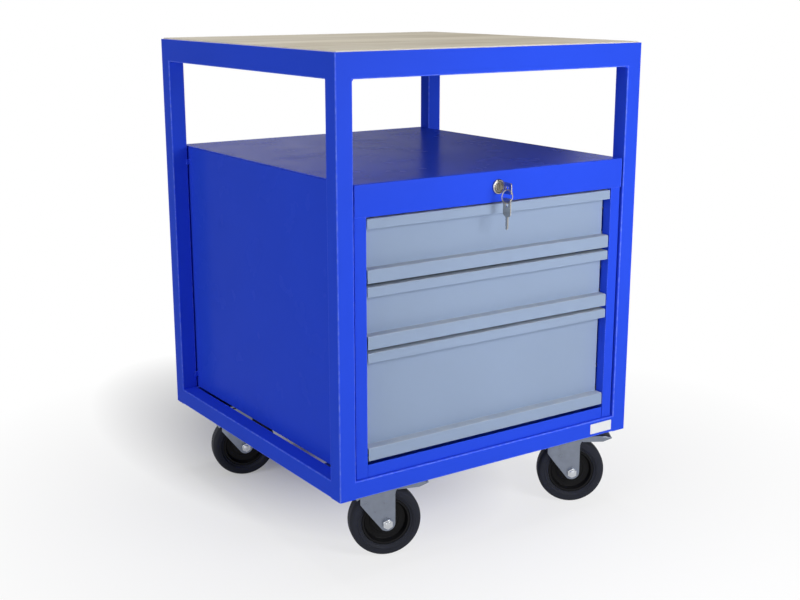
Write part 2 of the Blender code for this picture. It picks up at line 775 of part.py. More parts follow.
def locking_bar():
    """Flat bar over and behind the drawers. Its hooks drop inside their rear walls when it is lowered."""
    leg_rear = CABINET_REAR - SHEET - SEAT
    leg_front = leg_rear - BAR_WIDTH
    wall_inside = BOX_REAR - BOX_SHEET
    tip_rear = wall_inside - HOOK_CLEARANCE
    arm_top = LOCK_HEIGHT
    arm_foot = arm_top - BAR_WIDTH
    tab_front = cam_front() + CAM_THICKNESS + CAM_THICKNESS / 2
    levels = [hook_level(top) for _, _, top in drawer_levels()]
    outline = [(leg_rear, levels[0]), (leg_rear, arm_top), (tab_front, arm_top), (tab_front, arm_foot)]
    outline.append((leg_front, arm_foot))
    for level in reversed(levels):
        finger = level + BAR_TRAVEL
        outline += [
            (leg_front, finger + HOOK_THICKNESS),
            (tip_rear - HOOK_TIP_LENGTH, finger + HOOK_THICKNESS),
            (tip_rear - HOOK_TIP_LENGTH, level + HOOK_CLEARANCE),
            (tip_rear - HOOK_TIP_LENGTH / 2, level),
            (tip_rear, level),
            (tip_rear, finger),
            (leg_front, finger),
        ]
    outline.append((leg_front, levels[0]))
    bar = prism(outline, "X", -BAR_THICKNESS / 2, BAR_THICKNESS / 2)
    pin_z = LOCK_HEIGHT + BAR_TRAVEL / 2
    reach = pin_radius()
    slot_half = CAM_PIN_DIAMETER / 2 + 2 * PLUG_PLAY
    slot_xs = (BAR_TRAVEL / 2 - slot_half, reach + slot_half)
    edge = BAR_THICKNESS
    tab = prism(
        rectangle(
            (-BAR_THICKNESS / 2, arm_foot), (slot_xs[1] + edge, pin_z + slot_half + edge)
        ),
        "Y", tab_front, tab_front + BAR_THICKNESS,
    )
    slot = prism(
        rectangle((slot_xs[0], pin_z - slot_half), (slot_xs[1], pin_z + slot_half)),
        "Y", tab_front - edge, tab_front + 2 * edge,
    )
    return joined(bar, cut(tab, slot))


def make_lock(bench, finishes):
    axis = Vector((0, 0, LOCK_HEIGHT))
    build_part("lock_housing", lock_housing(), finishes["nickel"], bench, axis, smooth=True)
    turn = pivot("plug_turn", bench, axis)
    build_part("lock_plug", lock_plug(), finishes["nickel"], turn, smooth=True)
    pull = pivot("key_pull", turn, (0, KEY_EYE_FRONT, 0))
    build_part("key", key_blank(), finishes["nickel"], pull)
    # The ring hangs on the web of the bow under the eye, and turns about the middle of that web.
    web_top = -KEY_EYE_DIAMETER / 2
    web_foot = -KEY_BOW_DIAMETER / 2
    hang = pivot("ring_hang", pull, (0, 0, (web_top + web_foot) / 2))
    ring_drop = web_top + RING_PLAY - RING_INNER_RADIUS - (web_top + web_foot) / 2
    build_part("key_ring", moved(key_ring(), (0, 0, ring_drop)), finishes["nickel"], hang, smooth=True)
    wire_foot = ring_drop - RING_INNER_RADIUS - RING_WIRE / 2
    swing = pivot("spare_key_swing", hang, (0, 0, wire_foot))
    spare = key_blank()
    bmesh.ops.rotate(spare, matrix=Matrix.Rotation(-math.pi / 2, 3, "X"), verts=spare.verts)
    spare_drop = RING_WIRE / 2 + RING_PLAY - KEY_EYE_DIAMETER / 2
    build_part("spare_key", moved(spare, (0, 0, spare_drop)), finishes["nickel"], swing)
    lift = pivot("locking_bar_lift", bench, (0, CABINET_REAR, LOCK_HEIGHT))
    bar = moved(locking_bar(), (0, -CABINET_REAR, -LOCK_HEIGHT))
    build_part("locking_bar", bar, finishes["zinc"], lift)


# Casters, drawn about the swivel axis with the wheel trailing towards +X


def caster_plate(to_side, to_end):
    """Corner plate welded between two rails, with the pressed race of the swivel below it.
    The distances are from the swivel axis to the inner faces of the two rails."""
    low = CASTER_HEIGHT
    outline = rectangle((-to_side + SEAT, -to_end + SEAT), (to_side - SEAT, to_end - SEAT))
    plate = prism(outline, "Z", low, low + PLATE_THICKNESS)
    radius = RACE_DIAMETER / 2
    foot = low - RACE_DEPTH
    middle = PLATE_THICKNESS / 2
    profile = [
        (0, foot),
        (RACE_FOOT_DIAMETER / 2, foot),
        (radius, foot + RACE_TAPER),
        (radius, low + middle),
        (0, low + middle),
    ]
    race = turned(profile, "Z")
    return joined(plate, race)


def stadium(half_width, rear):
    """Plan of the fork: a half round in front of the swivel axis and straight sides behind it."""
    return arc((0, 0), half_width, 90, 270, ROUND_STEPS // 2) + [(rear, -half_width), (rear, half_width)]


def fork_side_outline():
    """The fork seen from the side: a slanted leading edge, a lobe round the axle and an upright rear edge."""
    lobe = FORK_REAR_REACH
    axle = (CASTER_TRAIL, AXLE_HEIGHT)
    top = CASTER_HEIGHT + PLATE_THICKNESS
    half_width = HUB_WIDTH / 2 + FORK_SIDE_PLAY + FORK_SHEET
    lead = (-half_width - FORK_SHEET, AXLE_HEIGHT + FORK_LEAD_ABOVE_AXLE)
    slant = math.degrees(math.atan2(lead[1] - axle[1], lead[0] - axle[0]))
    shoulder = WHEEL_DIAMETER + WHEEL_CLEARANCE
    heel = CASTER_TRAIL + 2 * lobe
    outline = [(lead[0], top), lead]
    outline += arc(axle, lobe, slant + 90, 360, ROUND_STEPS // 2)
    outline += arc((heel, shoulder - lobe), lobe, 180, 90, ROUND_STEPS // 8)
    outline.append((heel, top))
    return outline


def caster_fork():
    """Pressed fork, open below and behind, with its axle bolt."""
    inside = HUB_WIDTH / 2 + FORK_SIDE_PLAY
    outside = inside + FORK_SHEET
    crown = CASTER_HEIGHT - RACE_DEPTH - FORK_TOP_DROP
    rear = CASTER_TRAIL + 2 * FORK_REAR_REACH
    shell = prism(stadium(outside, rear), "Z", 0, crown)
    hollow = prism(stadium(inside, rear + FORK_REAR_REACH), "Z", -FORK_SHEET, crown - FORK_SHEET)
    shell = cut(shell, hollow)
    fork = combined(shell, prism(fork_side_outline(), "Y", -2 * outside, 2 * outside), "INTERSECT")
    # The wrap in front of the wheel is cut back round the tread.
    room = WHEEL_DIAMETER / 2 + WHEEL_CLEARANCE
    room_half = (TYRE_WIDTH / 2 + inside) / 2
    tread = [(0, -room_half), (room, -room_half), (room, room_half), (0, room_half)]
    swept = turned(tread, "Y", WHEEL_FACETS)
    fork = cut(fork, moved(swept, (CASTER_TRAIL, 0, AXLE_HEIGHT)))
    head = outside + AXLE_HEAD_THICKNESS
    radius = AXLE_DIAMETER / 2
    bolt_head = AXLE_HEAD / 2
    axle = turned(
        [(0, -head), (bolt_head, -head), (bolt_head, -outside + SEAT), (radius, -outside + SEAT),
         (radius, outside - SEAT), (bolt_head, outside - SEAT), (bolt_head, head), (0, head)],
        "Y", 12,
    )
    return joined(fork, moved(axle, (CASTER_TRAIL, 0, AXLE_HEIGHT)))


def caster_tyre():
    """Rubber tyre about the axle along Y, crowned, with rounded shoulders and a flat facet downwards."""
    outer = WHEEL_DIAMETER / 2
    inner = outer - TYRE_DEPTH
    half = TYRE_WIDTH / 2
    section = [
        (inner, TYRE_BEAD_WIDTH / 2),
        (inner + TYRE_SHOULDER, half),
        (outer - TYRE_SHOULDER, half),
        (outer - TREAD_CROWN, TREAD_EDGE_WIDTH / 2),
        (outer, TREAD_WIDTH / 2),
    ]
    section += [(radius, -along) for radius, along in reversed(section)]
    return turned(section, "Y", WHEEL_FACETS, math.pi / WHEEL_FACETS)


def caster_hub():
    """Moulded wheel centre about the axle along Y: rim, dished web and boss."""
    rim = WHEEL_DIAMETER / 2 - TYRE_DEPTH - SEAT
    half = TYRE_BEAD_WIDTH / 2
    bore = AXLE_DIAMETER / 2 + SEAT
    web = HUB_WEB / 2
    section = [
        (bore, HUB_WIDTH / 2),
        (HUB_BOSS_END_DIAMETER / 2, HUB_WIDTH / 2),
        (HUB_BOSS_DIAMETER / 2, web),
        (rim - HUB_RIM - HUB_RIM_TAPER, web),
        (rim - HUB_RIM, half),
        (rim, half),
    ]
    section += [(radius, -along) for radius, along in reversed(section)]
    return turned(section, "Y", HUB_FACETS)


def pedal_pivot():
    """Middle of the brake pedal's hinge: over the axle, under the fork's crown."""
    return Vector((CASTER_TRAIL, 0, WHEEL_DIAMETER + WHEEL_CLEARANCE + PEDAL_FLANGE / 2))


def brake_pedal():
    """Foot lever about its hinge: a channel pressed from sheet that runs back and down, closed at its tip,
    with the pin that it turns on."""
    level = PEDAL_LEVEL
    crest = PEDAL_FLANGE / 2
    top = rounded_path([(-level, crest), (level, crest), (PEDAL_LENGTH, crest - PEDAL_DROP)], PEDAL_FLANGE)
    side = [tuple(point) for point in top]
    under = [(x, z - PEDAL_FLANGE) for x, z in side]
    half = PEDAL_WIDTH / 2
    lever = prism(side + under[::-1], "Y", -half, half)
    tip_corners = [
        edge for edge in lever.edges
        if min(corner.co.x for corner in edge.verts) > PEDAL_LENGTH - PEDAL_SHEET
        and abs(edge.verts[0].co.z - edge.verts[1].co.z) > PEDAL_SHEET
    ]
    bmesh.ops.bevel(
        lever, geom=tip_corners, offset=PEDAL_TIP_ROUNDING, segments=4, profile=0.5, affect="EDGES"
    )
    inside = [(x - PEDAL_SHEET, z - PEDAL_SHEET) for x, z in side]
    inside = [(-2 * level, inside[0][1])] + inside
    below = [(x, z - 2 * PEDAL_FLANGE) for x, z in inside]
    inner_half = half - PEDAL_SHEET
    hollow = prism(inside + below[::-1], "Y", -inner_half, inner_half)
    hollow_corners = [
        edge for edge in hollow.edges
        if min(corner.co.x for corner in edge.verts) > PEDAL_LENGTH - 2 * PEDAL_SHEET
        and abs(edge.verts[0].co.z - edge.verts[1].co.z) > PEDAL_SHEET
    ]
    inner_rounding = PEDAL_TIP_ROUNDING - PEDAL_SHEET
    bmesh.ops.bevel(
        hollow, geom=hollow_corners, offset=inner_rounding, segments=4, profile=0.5, affect="EDGES"
    )
    lever = cut(lever, hollow)
    pin_half = HUB_WIDTH / 2 + FORK_SIDE_PLAY - SEAT
    radius = PEDAL_PIN_DIAMETER / 2
    pin = turned([(0, -pin_half), (radius, -pin_half), (radius, pin_half), (0, pin_half)], "Y", 12)
    return joined(lever, pin)


def make_casters(bench, finishes):
    fork = mesh_of(caster_fork(), "caster_fork", finishes["zinc"], smooth=True)
    tyre = mesh_of(caster_tyre(), "caster_tyre", finishes["rubber"], smooth=True)
    hub = mesh_of(caster_hub(), "caster_hub", finishes["plastic"], smooth=True)
    pedal = mesh_of(brake_pedal(), "brake_pedal", finishes["zinc"])
    from_side = {"front": FRONT_CASTER_FROM_SIDE, "rear": REAR_CASTER_FROM_SIDE}
    plates = {}
    for depth, inset in from_side.items():
        plate = caster_plate(inset - TUBE_SIDE, CASTER_FROM_END - TUBE_SIDE)
        plates[depth] = mesh_of(plate, f"caster_plate_{depth}", finishes["zinc"], smooth=True)
    for corner, angle in SWIVEL_ANGLES.items():
        depth, side = corner.split("_")
        x = (FRAME_WIDTH / 2 - from_side[depth]) * (1 if side == "right" else -1)
        y = (FRAME_DEPTH / 2 - CASTER_FROM_END) * (1 if depth == "rear" else -1)
        part(f"caster_plate_{corner}", plates[depth], bench, (x, y, 0))
        swivel = pivot(f"swivel_{corner}", bench, (x, y, 0), angle)
        part(f"caster_fork_{corner}", fork, swivel)
        axle = (CASTER_TRAIL, 0, AXLE_HEIGHT)
        part(f"caster_tyre_{corner}", tyre, swivel, axle)
        part(f"caster_hub_{corner}", hub, swivel, axle)
        if depth == "front":
            part(f"brake_pedal_{corner}", pedal, swivel, pedal_pivot())


def main():
    clear_scene()
    finishes = make_finishes()
    bench = pivot("workbench", None, (0, FRAME_CENTRE_Y, 0))
    paint = finishes["blue_paint"]
    make_posts(bench, paint)
    make_bottom_rails(bench, paint)
    make_rim(bench, paint)
    make_worktop(bench, finishes["plywood"])
    make_cabinet_sides(bench, paint)
    make_cabinet_floor(bench, paint)
    make_cabinet_rear(bench, paint)
    make_cabinet_cover(bench, paint)
    make_drawers(bench, finishes)
    make_lock(bench, finishes)
    make_casters(bench, finishes)


main()
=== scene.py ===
"""Finish of the mobile workbench: painted tube frame, wooden top, drawer cabinet with its lock, and casters.

Sizes are in metres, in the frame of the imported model: X to the right, Y to the rear, Z up from the floor."""

import json
import math

import bmesh
import bpy
from bpy.props import FloatProperty, FloatVectorProperty, IntProperty, PointerProperty
from bpy.types import Operator, Panel, PropertyGroup
from mathutils import Matrix, Vector


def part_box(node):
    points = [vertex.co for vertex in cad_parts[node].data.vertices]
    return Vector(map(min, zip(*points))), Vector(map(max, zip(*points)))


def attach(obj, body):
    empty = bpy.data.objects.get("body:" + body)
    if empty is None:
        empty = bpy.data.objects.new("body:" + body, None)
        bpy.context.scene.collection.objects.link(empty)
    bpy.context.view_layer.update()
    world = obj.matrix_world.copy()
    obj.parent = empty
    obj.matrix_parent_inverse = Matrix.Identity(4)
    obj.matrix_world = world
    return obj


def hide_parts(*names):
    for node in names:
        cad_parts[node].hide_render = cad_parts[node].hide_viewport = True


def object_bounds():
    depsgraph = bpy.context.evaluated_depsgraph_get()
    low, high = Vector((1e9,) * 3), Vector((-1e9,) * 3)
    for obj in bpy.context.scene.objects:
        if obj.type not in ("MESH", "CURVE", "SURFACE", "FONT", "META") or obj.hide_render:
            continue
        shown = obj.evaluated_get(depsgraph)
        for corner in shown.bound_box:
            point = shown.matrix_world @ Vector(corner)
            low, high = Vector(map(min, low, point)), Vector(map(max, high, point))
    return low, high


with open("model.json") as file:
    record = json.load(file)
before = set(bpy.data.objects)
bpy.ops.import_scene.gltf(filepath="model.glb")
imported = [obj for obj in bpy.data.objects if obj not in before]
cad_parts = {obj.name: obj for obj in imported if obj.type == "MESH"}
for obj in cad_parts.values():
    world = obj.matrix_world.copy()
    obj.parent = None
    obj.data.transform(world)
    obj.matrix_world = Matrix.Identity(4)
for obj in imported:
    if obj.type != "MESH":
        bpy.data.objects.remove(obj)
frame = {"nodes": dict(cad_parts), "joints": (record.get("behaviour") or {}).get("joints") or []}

bl_info = {
    "name": "Mobile workbench finish",
    "version": (1, 0, 0),
    "blender": (4, 5, 0),
    "location": "View3D > Sidebar > Workbench",
    "description": "Dresses the frame, drawers, lock and casters of a mobile workbench",
    "category": "Mesh",
}

CAD_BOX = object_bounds()
NODES = frame["nodes"]
JOINTS = {joint["name"]: joint for joint in frame["joints"]}
CORNERS = ("front_left", "front_right", "rear_left", "rear_right")
BRAKED_CORNERS = ("front_left", "front_right")
DRAWERS = ("lower", "middle", "upper")
SIDES = ("left", "right")

# Parts of a unit direction along an axis: exactly along it, mainly along it, and hardly along it.
ALONG = 0.999
MAINLY = 0.9
HARDLY = 0.2

# Angle between the faces at a square edge, in degrees, with some play.
SQUARE_EDGE = 60.0

# The sections below are in millimetres.
MILLIMETRE = 0.001

# Half of a tyre, from its bead to mid tread: depth below the tread, distance from the middle plane.
TYRE_SECTION = (
    (19.6, 14.4), (19.2, 15.0), (18.1, 15.3), (17.5, 15.0), (16.9, 15.3), (14.5, 17.6), (13.5, 18.0),
    (12.5, 18.0), (12.1, 17.6), (11.5, 17.6), (11.1, 18.0), (7.5, 18.0), (5.7, 17.8), (3.9, 17.1),
    (2.5, 16.0), (1.8, 14.8), (2.2, 14.5), (2.2, 13.9), (1.4, 13.5), (0.8, 12.0), (1.4, 11.7),
    (1.4, 11.1), (0.6, 10.7), (0.2, 9.0), (0.8, 8.7), (0.8, 8.1), (0.1, 7.7), (0.0, 4.0),
)

# Half of a wheel centre, from its bore to the tyre: radius, distance from the middle plane.
WHEEL_CENTRE_SECTION = (
    (5.3, 19.2), (7.4, 19.2), (7.6, 20.0), (11.2, 20.0), (11.9, 19.3), (13.6, 6.4), (14.6, 4.8),
    (16.0, 4.3), (23.6, 4.3), (24.2, 5.0), (26.4, 5.0), (27.0, 4.3), (34.8, 4.3), (36.2, 5.4),
    (37.9, 13.6), (38.6, 14.4), (41.6, 14.4), (42.2, 13.8),
)

# The points of that section between which its ribs stand.
RIB_FOOT = 5
RIB_END = 13

# Foot lever of a brake, from the side: distance from its hinge along the lever, height above the hinge.
PEDAL_TOP = ((-14.8, 3.5), (12.0, 3.5), (34.0, 1.4), (52.0, 1.0), (74.5, -3.2))
PEDAL_UNDERSIDE = ((74.5, -5.6), (58.0, -12.0), (20.0, -11.0), (12.0, -3.5), (-14.8, -3.5))

# Rosette of the lock, from its bore to the fascia: radius, distance in front of the fascia.
ROSETTE_SECTION = (
    (6.3, 3.5), (6.6, 3.9), (7.1, 4.0), (7.6, 3.7), (8.0, 3.0), (8.3, 1.8), (8.9, 1.6), (9.3, 2.4),
    (9.9, 3.7), (10.7, 4.2), (11.6, 3.9), (12.2, 3.1), (12.5, 2.0), (12.5, 0.1), (9.0, 0.1),
)

# Half of a domed head, as shares of its radius and of its height.
DOME_SECTION = ((0.0, 1.0), (0.5, 0.87), (0.87, 0.5), (1.0, 0.0), (0.0, 0.0))


def length(name, description, default):
    return FloatProperty(
        name=name, description=description, default=default, min=0.0, precision=5, unit="LENGTH"
    )


def count(name, description, default, least):
    return IntProperty(name=name, description=description, default=default, min=least)


def share(name, description, default):
    return FloatProperty(name=name, description=description, default=default, min=0.0)


def colour(name, description, default):
    return FloatVectorProperty(
        name=name, description=description, default=default, min=0.0, max=1.0, size=3, subtype="COLOR"
    )


def power(name, description, default):
    return FloatProperty(name=name, description=description, default=default, min=0.0, unit="POWER")


def angle(name, description, degrees):
    return FloatProperty(
        name=name, description=description, default=math.radians(degrees), unit="ROTATION"
    )


class SteelworkSizes(PropertyGroup):
    """Sizes of the welded and folded steelwork and of the board in it."""

    tube_corner: length("Tube corner", "Outer radius of the square tube", 0.0018)
    tube_wall: length("Tube wall", "Wall of the square tube", 0.002)
    tube_hollow: length("Tube hollow", "Depth of the hollow shown at a tube's end", 0.060)
    rim_wall: length("Rim wall", "Wall of the angle rim", 0.003)
    board_edge: length("Board edge", "Rounding of the wooden top's edges", 0.0012)
    sheet: length("Cabinet sheet", "Sheet of the cabinet", 0.0015)
    cut_edge: length("Cut edge", "Rounding of cut sheet edges", 0.00035)
    bead_radius: length("Bead radius", "Radius of a weld bead", 0.0030)
    bead_pitch: length("Bead pitch", "Distance between the ripples of a weld bead", 0.0021)
    bead_valley: share("Bead valley", "Radius between the ripples as a share", 0.82)
    bead_flank: share("Bead flank", "Length of a ripple's slope as a share of the ripple", 0.35)
    hem_height: length("Hem height", "Height of the hem folded inside a drawer box", 0.009)
    hem_wall: length("Hem wall", "Thickness of that hem", 0.0012)
    hem_gap: length("Hem gap", "Gap between that hem and the wall", 0.00024)
    box_wall: length("Drawer box wall", "Sheet of the drawer boxes", 0.0012)
    plate_width: length("Plate width", "Width of the bare plate on the front rail", 0.051)
    plate_height: length("Plate height", "Height of the bare plate on the front rail", 0.019)
    plate_thickness: length("Plate thickness", "Thickness of the bare plate on the front rail", 0.0006)
    plate_from_post: length("Plate from post", "Distance from the bare plate to the right post", 0.004)


class FittingSizes(PropertyGroup):
    """Sizes of the lock, the rivets and the casters."""

    fork_width: length("Fork width", "Width over the cheeks of a caster fork", 0.0480)
    pressed_edge: length("Pressed edge", "Rounding of the edges of pressed caster parts", 0.0005)
    nut_width: length("Axle nut", "Width across the corners of the axle nuts", 0.0188)
    nut_height: length("Axle nut height", "Height of the axle nuts", 0.0064)
    thread: length("Thread", "Diameter of the axle's threaded ends", 0.0098)
    thread_end: length("Thread end", "How far the axle's thread stands out of its nut", 0.0022)
    thread_pitch: length("Thread pitch", "Pitch of the threads", 0.0009)
    wheel_steps: count("Wheel steps", "Faces round a wheel", 96, least=24)
    ribs: count("Hub ribs", "Ribs of a wheel centre", 8, least=3)
    rib_thickness: length("Rib thickness", "Thickness of a wheel centre's ribs", 0.0020)
    rib_fall: share("Rib fall", "Height of a rib's outer end as a share of its inner end", 0.62)
    pedal_width: length("Pedal width", "Width of a brake pedal between the cheeks of its fork", 0.0412)
    pedal_tip_share: share("Pedal tip", "Width of a pedal's tip as a share", 0.80)
    pedal_sheet: length("Pedal sheet", "Sheet of the brake pedals", 0.0020)
    pedal_pin: length("Pedal pin", "Diameter of a pedal's hinge pin", 0.0050)
    pedal_pin_length: length("Pedal pin length", "Length of a pedal's hinge pin", 0.0424)
    # A thin dark navy sheet on each pedal's tip, with a bare edge round it.
    dark_tip_margin: length("Dark tip margin", "Bare edge round the pad of a brake pedal", 0.0022)
    dark_tip_thickness: length("Dark tip thickness", "Thickness of the pad on a brake pedal", 0.0006)
    dark_tip_reach: share("Dark tip reach", "Share of the lever behind its bend that the pad covers", 0.7)
    rivet: length("Rivet", "Diameter of the runner rivets' heads", 0.0070)
    rivet_height: length("Rivet height", "Height of the runner rivets' heads", 0.0012)
    rivet_spacing: length("Rivet spacing", "Distance between the runner rivets", 0.160)
    lock_nut: length("Lock nut", "Width across the corners of the nut behind the fascia", 0.0250)
    lock_nut_height: length("Lock nut height", "Height of the nut behind the fascia", 0.0040)
    plug_edge: length("Plug edge", "Rounding of the edges of the lock's plug", 0.0002)
    bar_edge: length("Bar edge", "Rounding of the edges of the locking bar", 0.0003)
    coil_turns: count("Ring turns", "Turns of the split key ring", 2, least=1)
    coil_steps: count("Ring steps", "Faces round one turn of the key ring", 48, least=12)
    wire_steps: count("Wire steps", "Faces round the wire of the key ring", 10, least=6)
    key_head: length("Key head", "From the eye of a key to the shoulder of its head", 0.0185)
    key_half_width: length("Key half width", "Half of the width of a key's head", 0.0095)
    key_squareness: count("Key squareness", "Power of a key's outline", 10, least=2)
    key_rim: length("Key rim", "Width of the raised rim round a key", 0.0007)
    key_sink: length("Key sink", "Depth of a key's faces below that rim", 0.0002)


class FinishColours(PropertyGroup):
    """Colours of the finishes."""

    frame_blue: colour("Frame blue", "Powder coat of the welded frame", (0.0265, 0.0830, 0.800))
    cabinet_blue: colour("Cabinet blue", "Powder coat of the cabinet", (0.0255, 0.0800, 0.790))
    drawer_grey: colour("Drawer grey", "Powder coat of the drawers", (0.310, 0.394, 0.550))
    # Paler blue for wear and for a painted highlight along edges.
    scuff: colour("Scuff", "Powder coat that is worn on an edge", (0.420, 0.560, 0.900))
    # Paler grey for dust and for painted top light on the drawers' ledges.
    dust: colour("Dust", "Dust on the drawers' ledges", (0.560, 0.590, 0.600))
    wood: colour("Wood", "Face of the wooden top", (0.550, 0.505, 0.405))
    wood_dark: colour("Wood, dark", "Late wood and flecks of the wooden top", (0.400, 0.330, 0.220))
    zinc: colour("Zinc", "Zinc plating of the pressed parts", (0.215, 0.240, 0.295))
    bright_zinc: colour("Bright zinc", "Zinc plating of the nuts", (0.560, 0.580, 0.610))
    nickel: colour("Nickel", "Nickel plating", (0.470, 0.450, 0.410))
    dull_nickel: colour("Dull nickel", "Worn nickel plating of the key ring", (0.250, 0.245, 0.235))
    rubber: colour("Rubber", "Tyres", (0.0200, 0.0220, 0.0310))
    plastic: colour("Plastic", "Wheel centres", (0.0050, 0.0050, 0.0060))
    # Dark navy of the thin sheet on each pedal's tip.
    pad: colour("Pad", "Pads of the brake pedals", (0.018, 0.024, 0.045))
    plate: colour("Plate", "Bare plate on the front rail", (0.860, 0.870, 0.880))
    floor: colour("Floor", "Floor of the studio", (0.800, 0.800, 0.800))


class StageSettings(PropertyGroup):
    """Camera and light."""

    lens: FloatProperty(name="Lens", description="Focal length", default=55.41, unit="CAMERA")
    camera: FloatVectorProperty(
        name="Camera", description="Place of the camera", default=(-1.2558, -1.8518, 0.9373),
        subtype="XYZ", unit="LENGTH",
    )
    heading: angle("Heading", "Turn of the camera to the right of +Y", 34.236)
    pitch: angle("Pitch", "Tilt of the camera below the horizon", 14.116)
    key: power("Key light", "Power of the key light", 10.8)
    top: power("Top light", "Power of the top light", 24.0)
    left: power("Left light", "Power of the light on the left", 31.0)
    right: power("Right light", "Power of the light on the right", 10.0)
    sky: share("Sky", "Strength of the light from all round", 0.08)


class WorkbenchSettings(PropertyGroup):
    """All settings of the workbench's finish."""

    steel: PointerProperty(type=SteelworkSizes)
    fittings: PointerProperty(type=FittingSizes)
    colours: PointerProperty(type=FinishColours)
    stage: PointerProperty(type=StageSettings)


def settings():
    return bpy.context.scene.workbench


# Shader nodes


def node(tree, kind, inputs=None, **options):
    """Adds a shader node. Inputs are values or sockets, by name or number."""
    made = tree.nodes.new(kind)
    for name, value in options.items():
        setattr(made, name, value)
    for name, value in (inputs or {}).items():
        if isinstance(value, bpy.types.NodeSocket):
            tree.links.new(value, made.inputs[name])
        else:
            made.inputs[name].default_value = value
    return made


def math_node(tree, operation, first, second=0.0):
    return node(tree, "ShaderNodeMath", {0: first, 1: second}, operation=operation).outputs[0]


def times(tree, first, second):
    return math_node(tree, "MULTIPLY", first, second)


def blend(tree, amount, first, second):
    """Mix of two colours. Sockets 6, 7 and output 2 are the colour ones."""
    return node(tree, "ShaderNodeMix", {0: amount, 6: first, 7: second}, data_type="RGBA").outputs[2]


def spread(tree, value, low, high, start=0.0, end=1.0):
    """Maps what lies between start and end to what lies between low and high."""
    inputs = {0: value, 1: start, 2: end, 3: low, 4: high}
    return node(tree, "ShaderNodeMapRange", inputs).outputs[0]


def noise(tree, vector, scale, detail=2.0, distortion=0.0):
    inputs = {"Vector": vector, "Scale": scale, "Detail": detail, "Distortion": distortion}
    return node(tree, "ShaderNodeTexNoise", inputs).outputs["Fac"]


def stretched(tree, vector, scale):
    return node(tree, "ShaderNodeMapping", {"Vector": vector, "Scale": scale}).outputs[0]


def size_of(tree, vector):
    return node(tree, "ShaderNodeVectorMath", {0: vector}, operation="LENGTH").outputs["Value"]


def parts_of(tree, vector):
    return node(tree, "ShaderNodeSeparateXYZ", {0: vector}).outputs


def facing(tree):
    """Direction that the surface faces."""
    return node(tree, "ShaderNodeNewGeometry").outputs["Normal"]


def effect(name, inputs, outputs):
    """An empty shader node group with its input and output nodes."""
    tree = bpy.data.node_groups.new(name, "ShaderNodeTree")
    for label, kind, default in inputs:
        socket = tree.interface.new_socket(label, in_out="INPUT", socket_type=kind)
        if default is not None:
            socket.default_value = default
    for label in outputs:
        tree.interface.new_socket(label, in_out="OUTPUT", socket_type="NodeSocketFloat")
    return tree, tree.nodes.new("NodeGroupInput").outputs, tree.nodes.new("NodeGroupOutput").inputs


def make_powder_coat():
    """Orange peel of a baked powder coat, and the slow drift of its tone."""
    tree, given, result = effect(
        "powder coat",
        [("Vector", "NodeSocketVector", None), ("Peel", "NodeSocketFloat", 520.0)],
        ["Height", "Tone"],
    )
    tree.links.new(noise(tree, given["Vector"], given["Peel"], detail=1.5), result["Height"])
    tree.links.new(noise(tree, given["Vector"], scale=5.0, detail=3.0), result["Tone"])
    return tree


def make_edge_band():
    """Mask of the band along an outer edge."""
    tree, given, result = effect("thin edge", [("Radius", "NodeSocketFloat", 0.002)], ["Mask"])
    rounded_off = node(tree, "ShaderNodeBevel", {"Radius": given["Radius"]}, samples=4).outputs[0]
    inputs = {0: rounded_off, 1: facing(tree)}
    same = node(tree, "ShaderNodeVectorMath", inputs, operation="DOT_PRODUCT").outputs["Value"]
    tree.links.new(spread(tree, same, low=1.0, high=0.0, start=0.75, end=0.995), result["Mask"])
    return tree


def make_handling():
    """Smudges and light scuffs of a thing that is used and wiped, the scuffs also varying a painted highlight.
    """
    tree, given, result = effect(
        "handling",
        [("Vector", "NodeSocketVector", None), ("Scale", "NodeSocketFloat", 14.0)],
        ["Smudge", "Scuff"],
    )
    tree.links.new(noise(tree, given["Vector"], given["Scale"], detail=3.0), result["Smudge"])
    fine = noise(tree, given["Vector"], scale=110.0, detail=3.0)
    tree.links.new(spread(tree, fine, low=0.2, high=1.0, start=0.40, end=0.66), result["Scuff"])
    return tree


def make_dust_and_top_light():
    """Dust on what faces upwards, also standing in for painted top light."""
    tree, given, result = effect("settled dust", [("Vector", "NodeSocketVector", None)], ["Mask"])
    up = parts_of(tree, facing(tree))["Z"]
    flat = spread(tree, up, low=0.0, high=1.0, start=0.3)
    cloud = noise(tree, given["Vector"], scale=35.0, detail=6.0)
    patches = spread(tree, cloud, low=0.5, high=1.0, start=0.35, end=0.75)
    tree.links.new(times(tree, flat, patches), result["Mask"])
    return tree


def make_plating():
    """Cloudy tone and rolled lines of plated sheet."""
    tree, given, result = effect("plating", [("Vector", "NodeSocketVector", None)], ["Cloud", "Lines"])
    cloud = noise(tree, given["Vector"], scale=75.0, detail=4.0, distortion=0.4)
    tree.links.new(cloud, result["Cloud"])
    rolled = stretched(tree, given["Vector"], scale=(900.0, 900.0, 30.0))
    tree.links.new(noise(tree, rolled, scale=1.0), result["Lines"])
    return tree


EFFECTS = {
    "powder coat": make_powder_coat,
    "thin edge": make_edge_band,
    "handling": make_handling,
    "settled dust": make_dust_and_top_light,
    "plating": make_plating,
}


def use_effect(tree, name, **inputs):
    made = bpy.data.node_groups.get(name) or EFFECTS[name]()
    return node(tree, "ShaderNodeGroup", inputs, node_tree=made).outputs


def solid_colour(value, factor=1.0, lift=0.0):
    return (*[min(1.0, part * factor + lift) for part in value], 1.0)


def surface(name, specular=0.5):
    """A new material with its tree, its shader and its Object coordinates."""
    made = bpy.data.materials.new(name)
    made.use_nodes = True
    tree = made.node_tree
    place = tree.nodes.new("ShaderNodeTexCoord").outputs["Object"]
    shader = tree.nodes["Principled BSDF"].inputs
    shader["Specular IOR Level"].default_value = specular
    return made, tree, shader, place


